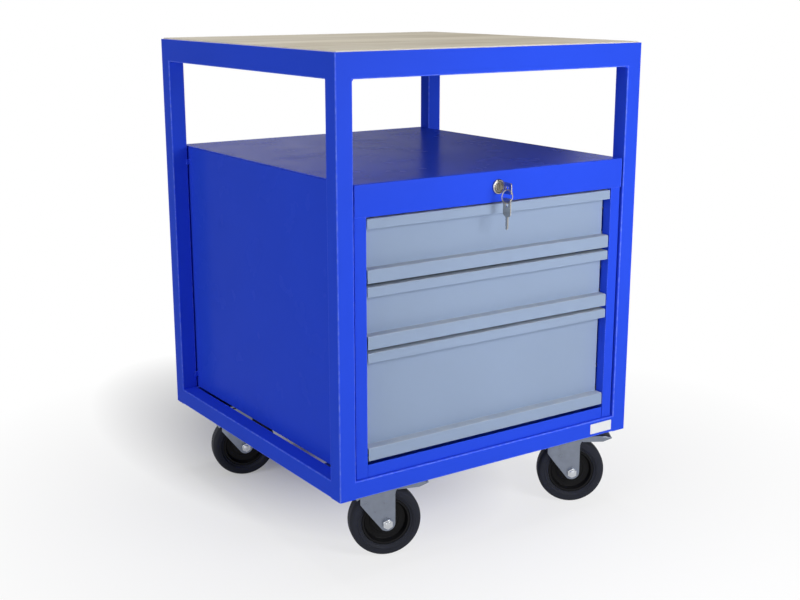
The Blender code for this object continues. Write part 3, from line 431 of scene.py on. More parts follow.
def vary_roughness(tree, shader, mask, low, high):
    tree.links.new(spread(tree, mask, low, high), shader["Roughness"])


def bump(tree, shader, height, strength, distance):
    made = node(tree, "ShaderNodeBump", {"Height": height, "Strength": strength, "Distance": distance})
    tree.links.new(made.outputs[0], shader["Normal"])


def arris_mask(tree):
    """Rounded edges that mark_arrises has marked."""
    return node(tree, "ShaderNodeAttribute", attribute_name="arris").outputs["Fac"]


def cut_edge_mask(tree, place, foot):
    """Cut and folded edges of sheet above a height."""
    above = math_node(tree, "GREATER_THAN", parts_of(tree, place)["Z"], foot)
    return times(tree, use_effect(tree, "thin edge")["Mask"], above)


def painted(name, value, roughness, dust_and_top_light_share=0.0, sheet_foot=None):
    """Powder-coated steel, with a painted highlight and wear on tube edges or on sheet edges above a height.
    """
    made, tree, shader, place = surface(name, specular=0.0115)
    shades = settings().colours
    coat = use_effect(tree, "powder coat", Vector=place)
    edge = arris_mask(tree) if sheet_foot is None else cut_edge_mask(tree, place, sheet_foot)
    use = use_effect(tree, "handling", Vector=place)
    dust = use_effect(tree, "settled dust", Vector=place)
    highlight_share, worn_and_highlight_share, drift = 0.8, 0.22, 0.07
    tone = blend(tree, coat["Tone"], solid_colour(value, factor=0.94), solid_colour(value, factor=1.05))
    # Painted highlight: a paler coat along the edges.
    tone = blend(tree, times(tree, edge, highlight_share), tone, solid_colour(value, factor=1.3, lift=0.02))
    # Wear, and a painted highlight that varies, in places along the same edges.
    worn_and_highlight = times(tree, times(tree, edge, use["Scuff"]), worn_and_highlight_share)
    tone = blend(tree, worn_and_highlight, tone, solid_colour(shades.scuff))
    # Dust, and painted top light: a paler grey on upward faces, in patches.
    tone = blend(tree, times(tree, dust["Mask"], dust_and_top_light_share), tone, solid_colour(shades.dust))
    tree.links.new(tone, shader["Base Color"])
    vary_roughness(tree, shader, use["Smudge"], roughness - drift, roughness + drift)
    bump(tree, shader, coat["Height"], strength=0.10, distance=0.0004)
    return made


def plated(name, value, roughness):
    """Zinc or nickel plated steel."""
    made, tree, shader, place = surface(name)
    film = use_effect(tree, "plating", Vector=place)
    edge = use_effect(tree, "thin edge", Radius=0.001)
    edge_highlight_share, smoother, rougher = 0.4, 0.08, 0.10
    tone = blend(tree, film["Cloud"], solid_colour(value, factor=0.80), solid_colour(value, factor=1.18))
    # Painted highlight: brighter plating along the edges.
    tone = blend(tree, times(tree, edge["Mask"], edge_highlight_share), tone, solid_colour(value, factor=1.5))
    tree.links.new(tone, shader["Base Color"])
    shader["Metallic"].default_value = 1.0
    vary_roughness(tree, shader, film["Cloud"], roughness - smoother, roughness + rougher)
    bump(tree, shader, film["Lines"], strength=0.05, distance=0.0002)
    return made


def moulded(name, value, roughness, grain):
    """Rubber or plastic out of a mould, with a little dust."""
    made, tree, shader, place = surface(name, specular=0.15)
    use = use_effect(tree, "handling", Vector=place, Scale=40.0)
    dust = use_effect(tree, "settled dust", Vector=place)
    dust_and_top_light_share, drift = 0.12, 0.10
    tone = blend(tree, use["Smudge"], solid_colour(value, factor=0.8), solid_colour(value, factor=1.35))
    tone = blend(tree, times(tree, dust["Mask"], dust_and_top_light_share), tone, solid_colour(value, lift=0.05))
    tree.links.new(tone, shader["Base Color"])
    vary_roughness(tree, shader, use["Smudge"], roughness - drift, roughness + drift)
    bump(tree, shader, noise(tree, place, scale=grain), strength=0.10, distance=0.0004)
    return made


def wooden(name, pale, ply):
    """Plywood with a pale face veneer: long grain and short flecks above, plies at its edges."""
    made, tree, shader, place = surface(name)
    dark = settings().colours.wood_dark
    long_grain = stretched(tree, place, scale=(1.2, 22.0, 22.0))
    grain = noise(tree, long_grain, scale=2.6, detail=6.0, distortion=1.4)
    flecks = noise(tree, stretched(tree, place, scale=(90.0, 620.0, 620.0)), scale=1.0)
    boards = noise(tree, stretched(tree, place, scale=(0.5, 5.0, 5.0)), scale=2.0)
    late = spread(tree, grain, low=0.0, high=1.0, start=0.40, end=0.66)
    tone = blend(tree, late, solid_colour(pale), solid_colour(dark))
    flecked = spread(tree, flecks, low=0.0, high=0.55, start=0.62, end=0.76)
    tone = blend(tree, flecked, tone, solid_colour(dark, factor=0.9))
    paler = spread(tree, boards, low=0.0, high=0.50, start=0.42, end=0.62)
    tone = blend(tree, paler, tone, solid_colour(pale, factor=1.25))
    layer = math_node(tree, "PINGPONG", parts_of(tree, place)["Z"], ply)
    leaning = math_node(tree, "ABSOLUTE", parts_of(tree, facing(tree))["Z"])
    side = math_node(tree, "LESS_THAN", leaning, second=0.5)
    darker = times(tree, side, spread(tree, layer, low=0.0, high=0.5, start=0.0013, end=0.0016))
    # Paler along the edges and on the side faces, with dark plies on the sides.
    paler_edge_share = 0.7
    paler_edge = times(tree, use_effect(tree, "thin edge", Radius=0.004)["Mask"], paler_edge_share)
    tone = blend(tree, math_node(tree, "MAXIMUM", side, paler_edge), tone, solid_colour(pale, factor=1.6))
    tree.links.new(blend(tree, darker, tone, solid_colour(dark)), shader["Base Color"])
    use = use_effect(tree, "handling", Vector=place, Scale=9.0)
    vary_roughness(tree, shader, use["Smudge"], low=0.42, high=0.62)
    bump(tree, shader, flecks, strength=0.12, distance=0.0003)
    return made


def filmed(name, value):
    """Smooth film on a bare plate, a little smudged."""
    made, tree, shader, place = surface(name)
    use = use_effect(tree, "handling", Vector=place, Scale=60.0)
    tone = blend(tree, use["Smudge"], solid_colour(value, factor=0.94), solid_colour(value))
    tree.links.new(tone, shader["Base Color"])
    vary_roughness(tree, shader, use["Smudge"], low=0.28, high=0.42)
    return made


SILL_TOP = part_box("drawer_lower_front")[0][2]

# Finishes: the CAD slot, the colour among the settings, the maker of the material and its other values.
FINISHES = {
    "frame paint": ("frame_paint", "frame_blue", painted, {"roughness": 0.36}),
    "cabinet paint": ("cabinet_paint", "cabinet_blue", painted, {"roughness": 0.26, "sheet_foot": SILL_TOP}),
    "drawer paint": (
        "drawer_paint", "drawer_grey", painted, {"roughness": 0.40, "dust_and_top_light_share": 0.65, "sheet_foot": 0.0}
    ),
    "veneered plywood": ("plywood", "wood", wooden, {"ply": 0.0028}),
    "zinc plating": ("zinc", "zinc", plated, {"roughness": 0.30}),
    "bright zinc": ("zinc", "bright_zinc", plated, {"roughness": 0.28}),
    "nickel plating": ("nickel", "nickel", plated, {"roughness": 0.22}),
    "dull nickel": ("nickel", "dull_nickel", plated, {"roughness": 0.36}),
    "tyre rubber": ("tyre", "rubber", moulded, {"roughness": 0.62, "grain": 900.0}),
    "hub plastic": ("hub_plastic", "plastic", moulded, {"roughness": 0.48, "grain": 600.0}),
    "pedal pad": ("tyre", "pad", moulded, {"roughness": 0.50, "grain": 700.0}),
    "bare plate": ("frame_paint", "plate", filmed, {}),
}


def finish(name):
    made = bpy.data.materials.get(name)
    if made is None:
        _, shade, maker, values = FINISHES[name]
        made = maker(name, getattr(settings().colours, shade), **values)
    return made


# Mesh work


def box_of(*nodes):
    """Lowest and highest corner of some CAD nodes together."""
    boxes = [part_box(name) for name in nodes]
    low = Vector([min(box[0][axis] for box in boxes) for axis in range(3)])
    high = Vector([max(box[1][axis] for box in boxes) for axis in range(3)])
    return low, high


def block(low, high):
    made = bmesh.new()
    bmesh.ops.create_cube(made, size=1.0)
    bmesh.ops.scale(made, vec=Vector(high) - Vector(low), verts=made.verts)
    bmesh.ops.translate(made, vec=(Vector(high) + Vector(low)) / 2, verts=made.verts)
    return made


def rounded(made, edges, radius, segments=2):
    bmesh.ops.bevel(
        made, geom=edges, offset=radius, offset_type="OFFSET", affect="EDGES",
        segments=segments, profile=0.5, material=-1, clamp_overlap=True,
    )
    return made


def edges_along(made, axis):
    found = []
    for edge in made.edges:
        if abs((edge.verts[1].co - edge.verts[0].co).normalized()[axis]) > ALONG:
            found.append(edge)
    return found


def edges_long(made):
    """The edges longer than the mean."""
    mean = sum(edge.calc_length() for edge in made.edges) / len(made.edges)
    return [edge for edge in made.edges if edge.calc_length() > mean]


def sharp_edges(made, degrees=40.0):
    least = math.radians(degrees)
    return [edge for edge in made.edges if edge.is_manifold and edge.calc_face_angle() > least]


def closed(made):
    bmesh.ops.remove_doubles(made, verts=made.verts, dist=1e-6)
    bmesh.ops.recalc_face_normals(made, faces=made.faces)
    return made


def mark_arrises(made):
    """Marks the faces of rounded edges, where a paler colour paints a highlight."""
    made.normal_update()
    mark = made.faces.layers.float.new("arris")
    for face in made.faces:
        face[mark] = float(max(abs(part) for part in face.normal) < ALONG)
    return made


def lathe(profile, steps):
    """(radius, height) points turned round Z. A profile that starts off the axis closes to a ring."""
    made = bmesh.new()
    corners = [made.verts.new((radius, 0.0, along)) for radius, along in profile]
    pairs = list(zip(corners, corners[1:]))
    if profile[0][0] > 0.0:
        pairs.append((corners[-1], corners[0]))
    edges = [made.edges.new(pair) for pair in pairs]
    bmesh.ops.spin(
        made, geom=corners + edges, cent=(0, 0, 0), axis=(0, 0, 1),
        angle=math.tau, steps=steps, use_merge=True,
    )
    return closed(made)


def grown(made, faces, way):
    """Draws faces out along a way into a closed shape."""
    new = bmesh.ops.extrude_face_region(made, geom=faces)["geom"]
    moved = [item for item in new if isinstance(item, bmesh.types.BMVert)]
    bmesh.ops.translate(made, vec=way, verts=moved)
    return closed(made)


def placed(made, matrix):
    bmesh.ops.transform(made, matrix=matrix, verts=made.verts)
    return made


def pointing(place, direction):
    """A matrix that puts Z along a direction at a place."""
    return Matrix.Translation(place) @ Vector(direction).to_track_quat("Z", "Y").to_matrix().to_4x4()


def gathered(parts):
    """Several closed shapes as one mesh."""
    whole = bmesh.new()
    for part in parts:
        mesh = bpy.data.meshes.new("part")
        part.to_mesh(mesh)
        part.free()
        whole.from_mesh(mesh)
        bpy.data.meshes.remove(mesh)
    return whole


def cad_copy(name):
    """A merged copy of a CAD node's solid, its flat faces whole again."""
    made = bmesh.new()
    made.from_mesh(NODES[name].data)
    bmesh.ops.remove_doubles(made, verts=made.verts, dist=2e-6)
    bmesh.ops.dissolve_limit(made, angle_limit=math.radians(0.4), verts=made.verts, edges=made.edges)
    return made


def piece(name, made, finish_name, body, *nodes):
    """Turns a mesh into a piece that rides on a body and stands for the given CAD nodes."""
    mesh = bpy.data.meshes.new(name)
    made.to_mesh(mesh)
    made.free()
    mesh.materials.append(finish(finish_name))
    mesh.shade_smooth()
    mesh.set_sharp_from_angle(angle=math.radians(42))
    shown = bpy.data.objects.new(name, mesh)
    bpy.context.scene.collection.objects.link(shown)
    shading = shown.modifiers.new("flat faces stay flat", "WEIGHTED_NORMAL")
    shading.keep_sharp = True
    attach(shown, body)
    if nodes:
        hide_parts(*nodes)


def softened(node_name, name, finish_name, body, radius):
    """The CAD solid with its cut edges rounded, as a piece in its place."""
    made = cad_copy(node_name)
    rounded(made, sharp_edges(made), radius)
    piece(name, made, finish_name, body, node_name)


# Frame


def square_tube(low, high, axis):
    """Square tube with rounded corners and open ends."""
    steel = settings().steel
    made = block(low, high)
    rounded(made, edges_along(made, axis), steel.tube_corner, segments=4)
    ends = [face for face in made.faces if abs(face.normal[axis]) > ALONG]
    bmesh.ops.inset_individual(made, faces=ends, thickness=steel.tube_wall, use_even_offset=True)
    for end in ends:
        inward = -end.normal * steel.tube_hollow
        floor = bmesh.ops.extrude_discrete_faces(made, faces=[end])["faces"][0]
        bmesh.ops.translate(made, vec=inward, verts=floor.verts)
    return mark_arrises(made)


def weld_bead(start, end):
    """A rippled bead along a line."""
    steel = settings().steel
    run = Vector(end) - Vector(start)
    ripples = max(3, round(run.length / steel.bead_pitch))
    ripple = run.length / ripples
    profile = [(0.0, 0.0)]
    for index in range(ripples):
        along = (index + 0.5) * ripple
        profile.append((steel.bead_radius * steel.bead_valley, along - steel.bead_flank * ripple))
        profile.append((steel.bead_radius, along))
    profile.append((0.0, run.length))
    return placed(lathe(profile, steps=10), pointing(start, run))


class WORKBENCH_OT_posts(Operator):
    """Makes the four posts, run up into the rim they are welded to"""

    bl_idname = "workbench.posts"
    bl_label = "Posts"

    def execute(self, context):
        foot, _ = box_of("top_rail_front")
        for corner in CORNERS:
            name = f"post_{corner}"
            low, high = box_of(name)
            high.z = foot.z + settings().steel.tube_corner
            piece(f"post.{corner}", square_tube(low, high, axis=2), "frame paint", "bench", name)
        return {"FINISHED"}


class WORKBENCH_OT_bottom_rails(Operator):
    """Makes the four bottom rails, run into the rounded corners of the posts"""

    bl_idname = "workbench.bottom_rails"
    bl_label = "Bottom rails"

    def execute(self, context):
        _, post = box_of("post_front_left")
        for side, axis in (("front", 0), ("rear", 0), ("left", 1), ("right", 1)):
            name = f"bottom_rail_{side}"
            low, high = box_of(name)
            reach = low[axis] - post[axis] + settings().steel.tube_corner
            low[axis] -= reach
            high[axis] += reach
            piece(f"bottom_rail.{side}", square_tube(low, high, axis), "frame paint", "bench", name)
        return {"FINISHED"}


class WORKBENCH_OT_rim(Operator):
    """Makes the angle rim round the wooden top, its mitres welded and dressed flush"""

    bl_idname = "workbench.rim"
    bl_label = "Rim"

    def execute(self, context):
        steel = settings().steel
        rails = [f"top_rail_{side}" for side in ("front", "rear", "left", "right")]
        low, high = box_of(*rails)
        front_low, front_high = box_of("top_rail_front")
        flange = front_high.y - front_low.y
        middle = (low + high) / 2
        wall = steel.rim_wall
        shelf = low.z + wall
        section = (
            (0.0, high.z), (0.0, low.z), (flange, low.z), (flange, shelf), (wall, shelf), (wall, high.z),
        )
        made = bmesh.new()
        corners = [made.verts.new((low.x + inward, low.y + inward, up)) for inward, up in section]
        edges = [made.edges.new(pair) for pair in zip(corners, corners[1:] + corners[:1])]
        bmesh.ops.spin(
            made, geom=corners + edges, cent=(middle.x, middle.y, 0), axis=(0, 0, 1),
            angle=math.tau, steps=4, use_merge=True,
        )
        closed(made)
        outer = []
        for edge in made.edges:
            a, b = (corner.co for corner in edge.verts)
            at_foot = max(a.z, b.z) < low.z + wall / 2
            inward = max(min(p.x - low.x, high.x - p.x, p.y - low.y, high.y - p.y) for p in (a, b))
            if inward < wall / 2 and (at_foot or abs(a.z - b.z) > wall):
                outer.append(edge)
        rounded(made, outer, steel.tube_corner, segments=4)
        rounded(made, sharp_edges(made, SQUARE_EDGE), steel.cut_edge)
        piece("rim", mark_arrises(made), "frame paint", "bench", *rails)
        return {"FINISHED"}


class WORKBENCH_OT_welds(Operator):
    """Makes the weld beads in the frame's inner corners"""

    bl_idname = "workbench.welds"
    bl_label = "Weld beads"

    def execute(self, context):
        clear = settings().steel.tube_corner
        foot, _ = box_of("top_rail_front")
        rail_low, rail_high = box_of("bottom_rail_left")
        beads = []
        for corner in CORNERS:
            low, high = box_of(f"post_{corner}")
            x = high.x if corner.endswith("left") else low.x
            y = high.y if corner.startswith("front") else low.y
            beads.append(weld_bead((x, y, rail_low.z + clear), (x, y, rail_high.z - clear)))
            beads.append(weld_bead((low.x + clear, y, foot.z), (high.x - clear, y, foot.z)))
            beads.append(weld_bead((x, low.y + clear, foot.z), (x, high.y - clear, foot.z)))
        piece("weld_beads", gathered(beads), "frame paint", "bench")
        return {"FINISHED"}


class WORKBENCH_OT_plate(Operator):
    """Makes the bare plate at the right end of the front rail"""

    bl_idname = "workbench.plate"
    bl_label = "Bare plate"

    def execute(self, context):
        steel = settings().steel
        low, high = box_of("bottom_rail_front")
        right = high.x - steel.plate_from_post
        middle = (low.z + high.z) / 2
        made = block(
            (right - steel.plate_width, low.y - steel.plate_thickness, middle - steel.plate_height / 2),
            (right, low.y, middle + steel.plate_height / 2),
        )
        rounded(made, edges_along(made, axis=1), steel.plate_thickness * 2, segments=3)
        rounded(made, sharp_edges(made), steel.plate_thickness / 3)
        piece("bare_plate", made, "bare plate", "bench")
        return {"FINISHED"}


class WORKBENCH_OT_worktop(Operator):
    """Makes the wooden top"""

    bl_idname = "workbench.worktop"
    bl_label = "Wooden top"

    def execute(self, context):
        edge = settings().steel.board_edge
        softened("worktop_board", "wooden_top", "veneered plywood", "bench", edge)
        return {"FINISHED"}


# Cabinet and drawers


class WORKBENCH_OT_cabinet(Operator):
    """Makes the folded panels of the cabinet"""

    bl_idname = "workbench.cabinet"
    bl_label = "Cabinet"

    def execute(self, context):
        edge = settings().steel.cut_edge
        for name in ("left_side", "right_side", "floor", "rear_panel", "top_cover"):
            softened(f"cabinet_{name}", f"cabinet.{name}", "cabinet paint", "bench", edge)
        return {"FINISHED"}


class WORKBENCH_OT_drawer_fronts(Operator):
    """Makes the folded drawer fronts"""

    bl_idname = "workbench.drawer_fronts"
    bl_label = "Drawer fronts"

    def execute(self, context):
        edge = settings().steel.cut_edge
        for drawer in DRAWERS:
            body = f"drawer_{drawer}"
            softened(f"{body}_front", f"drawer_front.{drawer}", "drawer paint", body, edge)
        return {"FINISHED"}


def hem(low, high):
    """Hem inside the upper edge of a drawer box."""
    steel = settings().steel
    inner = steel.box_wall + steel.hem_gap
    left, right = low.x + inner, high.x - inner
    front, rear = low.y + inner, high.y - inner
    corners = ((left, front), (right, front), (right, rear), (left, rear))
    made = bmesh.new()
    face = made.faces.new([made.verts.new((x, y, high.z - steel.cut_edge)) for x, y in corners])
    bmesh.ops.inset_individual(made, faces=[face], thickness=steel.hem_wall, use_even_offset=True)
    bmesh.ops.delete(made, geom=[face], context="FACES_ONLY")
    grown(made, made.faces[:], (0, 0, -steel.hem_height))
    return rounded(made, sharp_edges(made, SQUARE_EDGE), steel.cut_edge)


class WORKBENCH_OT_drawer_boxes(Operator):
    """Makes the drawer boxes with the hem folded inside their walls"""

    bl_idname = "workbench.drawer_boxes"
    bl_label = "Drawer boxes"

    def execute(self, context):
        for drawer in DRAWERS:
            body = f"drawer_{drawer}"
            name = f"{body}_box"
            made = cad_copy(name)
            rounded(made, sharp_edges(made), settings().steel.cut_edge)
            made = gathered([made, hem(*box_of(name))])
            piece(f"drawer_box.{drawer}", made, "drawer paint", body, name)
        return {"FINISHED"}


def mirrored(half):
    """A half section, and its mirror image past the middle plane."""
    return half + [(radius, -along) for radius, along in reversed(half)]


def in_metres(section):
    return [(radius * MILLIMETRE, along * MILLIMETRE) for radius, along in section]


def threaded(diameter, start, end):
    """Section of a thread between two heights."""
    pitch = settings().fittings.thread_pitch
    turns = max(2, round(abs(end - start) / pitch))
    section = []
    for index in range(turns):
        section.append((diameter / 2, start + (end - start) * index / turns))
        section.append((diameter / 2 - pitch / 2, start + (end - start) * (index + 0.5) / turns))
    return section


def hexagon_nut(width, height):
    """A nut standing on Z = 0, with its upper edges rounded."""
    made = bmesh.new()
    radius = width / 2
    bmesh.ops.create_cone(made, cap_ends=True, segments=6, radius1=radius, radius2=radius, depth=height)
    bmesh.ops.translate(made, vec=(0, 0, height / 2), verts=made.verts)
    upper = [edge for edge in made.edges if min(corner.co.z for corner in edge.verts) > height / 2]
    return rounded(made, upper, height / 7)


def rivet_head():
    """A domed head standing on Z = 0."""
    fittings = settings().fittings
    radius = fittings.rivet / 2
    height = fittings.rivet_height
    return lathe([(radius * out, height * up) for out, up in DOME_SECTION], steps=16)


class WORKBENCH_OT_runners(Operator):
    """Makes the runners, and the rivets that hold them to the drawer boxes"""

    bl_idname = "workbench.runners"
    bl_label = "Runners"

    def execute(self, context):
        steel = settings().steel
        spacing = settings().fittings.rivet_spacing
        for drawer in DRAWERS:
            carriers = {"fixed": "bench", "sliding": f"drawer_{drawer}"}
            box_low, box_high = box_of(f"drawer_{drawer}_box")
            heads = []
            for side in SIDES:
                runner = f"runner_{drawer}_{side}"
                for kind, body in carriers.items():
                    name = f"runner_{kind}.{drawer}_{side}"
                    softened(f"{runner}_{kind}", name, "zinc plating", body, steel.cut_edge)
                low, high = box_of(f"{runner}_sliding")
                middle = (low + high) / 2
                inward = 1.0 if side == "left" else -1.0
                outer = box_low.x if side == "left" else box_high.x
                for step in (-1, 0, 1):
                    place = (outer + inward * steel.box_wall, middle.y + step * spacing, middle.z)
                    heads.append(placed(rivet_head(), pointing(place, (inward, 0, 0))))
            piece(f"runner_rivets.{drawer}", gathered(heads), "zinc plating", carriers["sliding"])
        return {"FINISHED"}


# Lock and keys


class WORKBENCH_OT_lock(Operator):
    """Makes the lock's rosette with its threaded body and nut, its plug and its locking bar"""

    bl_idname = "workbench.lock"
    bl_label = "Lock"

    def execute(self, context):
        steel = settings().steel
        fittings = settings().fittings
        fascia, _ = box_of("cabinet_top_cover")
        _, rear = box_of("lock_housing")
        axis = JOINTS["plug_turn"]["pos_m"]
        axes = pointing((axis[0], fascia.y, axis[2]), (0, -1, 0))
        section = in_metres(ROSETTE_SECTION)
        bore = section[0][0]
        body = 2 * section[-1][0]
        end = fascia.y - rear.y
        section += threaded(body, -steel.cut_edge, end)
        section.append((bore, end))
        rosette = placed(lathe(section, steps=64), axes)
        piece("lock_rosette", rosette, "nickel plating", "bench", "lock_housing")
        nut = hexagon_nut(fittings.lock_nut, fittings.lock_nut_height)
        behind = Matrix.Translation((0, 0, -steel.sheet)) @ Matrix.Rotation(math.pi, 4, "X")
        piece("lock_nut", placed(nut, axes @ behind), "zinc plating", "bench")
        softened("lock_plug", "lock_plug_turned", "nickel plating", "plug", fittings.plug_edge)
        softened("locking_bar", "locking_bar_flat", "zinc plating", "locking_bar", fittings.bar_edge)
        return {"FINISHED"}


def square_bow(made, node_name, tip):
    """Squares the round bow of a key whose tip points along a direction."""
    fittings = settings().fittings
    low, high = box_of(node_name)
    bow = min(high.y - low.y, high.z - low.z) / 2
    tip = Vector(tip)
    back = Vector([high[axis] if tip[axis] < 0 else low[axis] for axis in range(3)])
    middle = (low + high) / 2
    eye = middle + tip * ((back - middle).dot(tip) + bow)
    across = Vector((1, 0, 0)).cross(tip)
    tolerance = bow / 20
    power_of_outline = fittings.key_squareness
    for corner in made.verts:
        spoke = corner.co - eye
        along, aside = spoke.dot(tip), spoke.dot(across)
        if abs(math.hypot(along, aside) - bow) < tolerance:
            half_length = bow if along < 0 else fittings.key_head
            reach = abs(along / half_length) ** power_of_outline
            reach += abs(aside / fittings.key_half_width) ** power_of_outline
            span = reach ** (-1 / power_of_outline)
            corner.co += (span - 1) * (along * tip + aside * across)
    return made


def rimmed_key(node_name, tip):
    """A key with a raised rim round its flat faces."""
    fittings = settings().fittings
    made = square_bow(cad_copy(node_name), node_name, tip)
    inset = {"use_even_offset": True, "use_boundary": True}
    sink = fittings.key_sink
    for side in (-1, 1):
        flat = [face for face in made.faces if face.normal.x * side > ALONG]
        bmesh.ops.inset_region(made, faces=flat, thickness=fittings.key_rim, **inset)
        bmesh.ops.inset_region(made, faces=flat, thickness=sink / 2, depth=-sink, **inset)
    return rounded(made, sharp_edges(made, degrees=75.0), sink)


def split_ring(node_name):
    """A split ring: turns of flat wire side by side."""
    fittings = settings().fittings
    turns = fittings.coil_turns
    low, high = box_of(node_name)
    wire = high.y - low.y
    steps = fittings.coil_steps * turns
    made = bmesh.new()
    circle = bmesh.ops.create_circle(made, segments=fittings.wire_steps, radius=wire / 2)
    section = circle["verts"]
    bmesh.ops.scale(made, vec=(1, 1 / turns, 1), verts=section)
    first = (wire / turns - wire) / 2
    bmesh.ops.translate(made, vec=((high.z - low.z - wire) / 2, first, 0), verts=section)
    bmesh.ops.spin(
        made, geom=made.verts[:] + made.edges[:], cent=(0, 0, 0), axis=(0, 1, 0),
        dvec=(0, (wire - wire / turns) / steps, 0), angle=turns * math.tau, steps=steps, use_merge=False,
    )
    bmesh.ops.holes_fill(made, edges=[edge for edge in made.edges if edge.is_boundary], sides=0)
    return placed(closed(made), Matrix.Translation((low + high) / 2))


class WORKBENCH_OT_keys(Operator):
    """Makes the two keys and the split ring"""

    bl_idname = "workbench.keys"
    bl_label = "Keys"

    def execute(self, context):
        in_lock = rimmed_key("key", tip=(0, 1, 0))
        piece("key_in_lock", in_lock, "nickel plating", "key", "key")
        on_ring = rimmed_key("spare_key", tip=(0, 0, -1))
        piece("key_on_ring", on_ring, "nickel plating", "spare_key", "spare_key")
        piece("split_ring", split_ring("key_ring"), "dull nickel", "key_ring", "key_ring")
        return {"FINISHED"}


# Casters


def wheel_axes(corner):
    """The wheel's own frame, with Z along the axle."""
    spin = JOINTS[f"wheel_spin_{corner}"]
    return pointing(spin["pos_m"], spin["axis"])


def axle_end():
    """Nut and threaded end of an axle, standing on Z = 0."""
    fittings = settings().fittings
    end = fittings.nut_height + fittings.thread_end
    nut = hexagon_nut(fittings.nut_width, fittings.nut_height)
    thread = lathe([(0.0, 0.0), *threaded(fittings.thread, 0.0, end), (0.0, end)], steps=24)
    return gathered([nut, thread])


class WORKBENCH_OT_forks(Operator):
    """Makes the caster plates and the pressed forks with their axle nuts"""

    bl_idname = "workbench.forks"
    bl_label = "Caster forks"

    def execute(self, context):
        fittings = settings().fittings
        outward = Matrix.Translation((0, 0, fittings.fork_width / 2))
        turns = (Matrix(), Matrix.Rotation(math.pi, 4, "X"))
        for corner in CORNERS:
            for part, body in (("plate", "bench"), ("fork", f"caster_{corner}")):
                name = f"caster_{part}.{corner}"
                softened(f"caster_{part}_{corner}", name, "zinc plating", body, fittings.pressed_edge)
            ends = [placed(axle_end(), wheel_axes(corner) @ turn @ outward) for turn in turns]
            piece(f"axle_nuts.{corner}", gathered(ends), "bright zinc", f"caster_{corner}")
        return {"FINISHED"}


def wheel_centre():
    """Moulded wheel centre about Z: the turned section and its ribs."""
    fittings = settings().fittings
    section = in_metres(WHEEL_CENTRE_SECTION)
    boss, _ = section[RIB_FOOT]
    rim, half_height = section[RIB_END]
    thickness = fittings.rib_thickness
    parts = [lathe(mirrored(section), fittings.wheel_steps)]
    for index in range(fittings.ribs):
        rib = block((boss - thickness, -thickness / 2, -half_height), (rim, thickness / 2, half_height))
        outer = [corner for corner in rib.verts if corner.co.x >= (boss + rim) / 2]
        bmesh.ops.scale(rib, vec=(1, 1, fittings.rib_fall), verts=outer)
        rounded(rib, edges_long(rib), thickness / 5)
        parts.append(placed(rib, Matrix.Rotation(math.tau * index / fittings.ribs, 4, "Z")))
    return gathered(parts)


class WORKBENCH_OT_wheels(Operator):
    """Makes the tyres and the moulded wheel centres"""

    bl_idname = "workbench.wheels"
    bl_label = "Wheels"

    def execute(self, context):
        steps = settings().fittings.wheel_steps
        for corner in CORNERS:
            body = f"wheel_{corner}"
            axes = wheel_axes(corner)
            section = [(axes.translation.z - depth, along) for depth, along in in_metres(TYRE_SECTION)]
            tyre = placed(lathe(mirrored(section), steps), axes)
            piece(f"tyre.{corner}", tyre, "tyre rubber", body, f"caster_tyre_{corner}")
            centre = placed(wheel_centre(), axes)
            piece(f"wheel_centre.{corner}", centre, "hub plastic", body, f"caster_hub_{corner}")
        return {"FINISHED"}


def side_prism(outline, half_width):
    """A side outline of (X, Z) points, drawn out to both sides along Y."""
    made = bmesh.new()
    side = made.faces.new([made.verts.new((along, -half_width, up)) for along, up in outline])
    return grown(made, [side], (0, 2 * half_width, 0))


def narrowed(made, start, tip_share):
    """Narrows what lies beyond a distance along X."""
    beyond = [corner for corner in made.verts if corner.co.x > start]
    bmesh.ops.scale(made, vec=(1, tip_share, 1), verts=beyond)
    return made


def pedal_lever():
    """Foot lever about its hinge, along +X: a channel of pressed sheet with a narrow tip, and its pin."""
    fittings = settings().fittings
    top = in_metres(PEDAL_TOP)
    made = side_prism(top + in_metres(PEDAL_UNDERSIDE), fittings.pedal_width / 2)
    narrowed(made, top[-2][0], fittings.pedal_tip_share)
    folds = []
    for edge in made.edges:
        ups = sorted(face.normal.z for face in edge.link_faces)
        if abs(ups[0]) < HARDLY and ups[1] > MAINLY:
            folds.append(edge)
    rounded(made, folds, fittings.pedal_sheet, segments=3)
    made.normal_update()
    hidden = [face for face in made.faces if face.normal.z < -HARDLY or face.normal.x < -MAINLY]
    bmesh.ops.delete(made, geom=hidden, context="FACES")
    bmesh.ops.solidify(made, geom=made.faces[:], thickness=fittings.pedal_sheet)
    rounded(made, sharp_edges(made, SQUARE_EDGE), fittings.pedal_sheet / 6)
    radius = fittings.pedal_pin / 2
    end = fittings.pedal_pin_length / 2
    pin = lathe([(0.0, -end), (radius, -end), (radius, end), (0.0, end)], steps=20)
    return gathered([made, placed(pin, Matrix.Rotation(math.pi / 2, 4, "X"))])


def pedal_dark_tip():
    """Thin dark sheet on the tip of the foot lever, with a bare edge round it."""
    fittings = settings().fittings
    margin = fittings.dark_tip_margin
    start, bend, tip = (Vector(point) for point in in_metres(PEDAL_TOP)[-3:])
    start = bend.lerp(start, fittings.dark_tip_reach)
    tip = tip + (bend - tip).normalized() * margin
    lower = [start, bend, tip]
    upper = [point + Vector((0, fittings.dark_tip_thickness)) for point in reversed(lower)]
    made = side_prism([tuple(point) for point in lower + upper], fittings.pedal_width / 2 - margin)
    narrowed(made, bend.x + margin, fittings.pedal_tip_share)
    rounded(made, edges_along(made, axis=2), margin, segments=3)
    return rounded(made, sharp_edges(made, SQUARE_EDGE), fittings.dark_tip_thickness / 3)


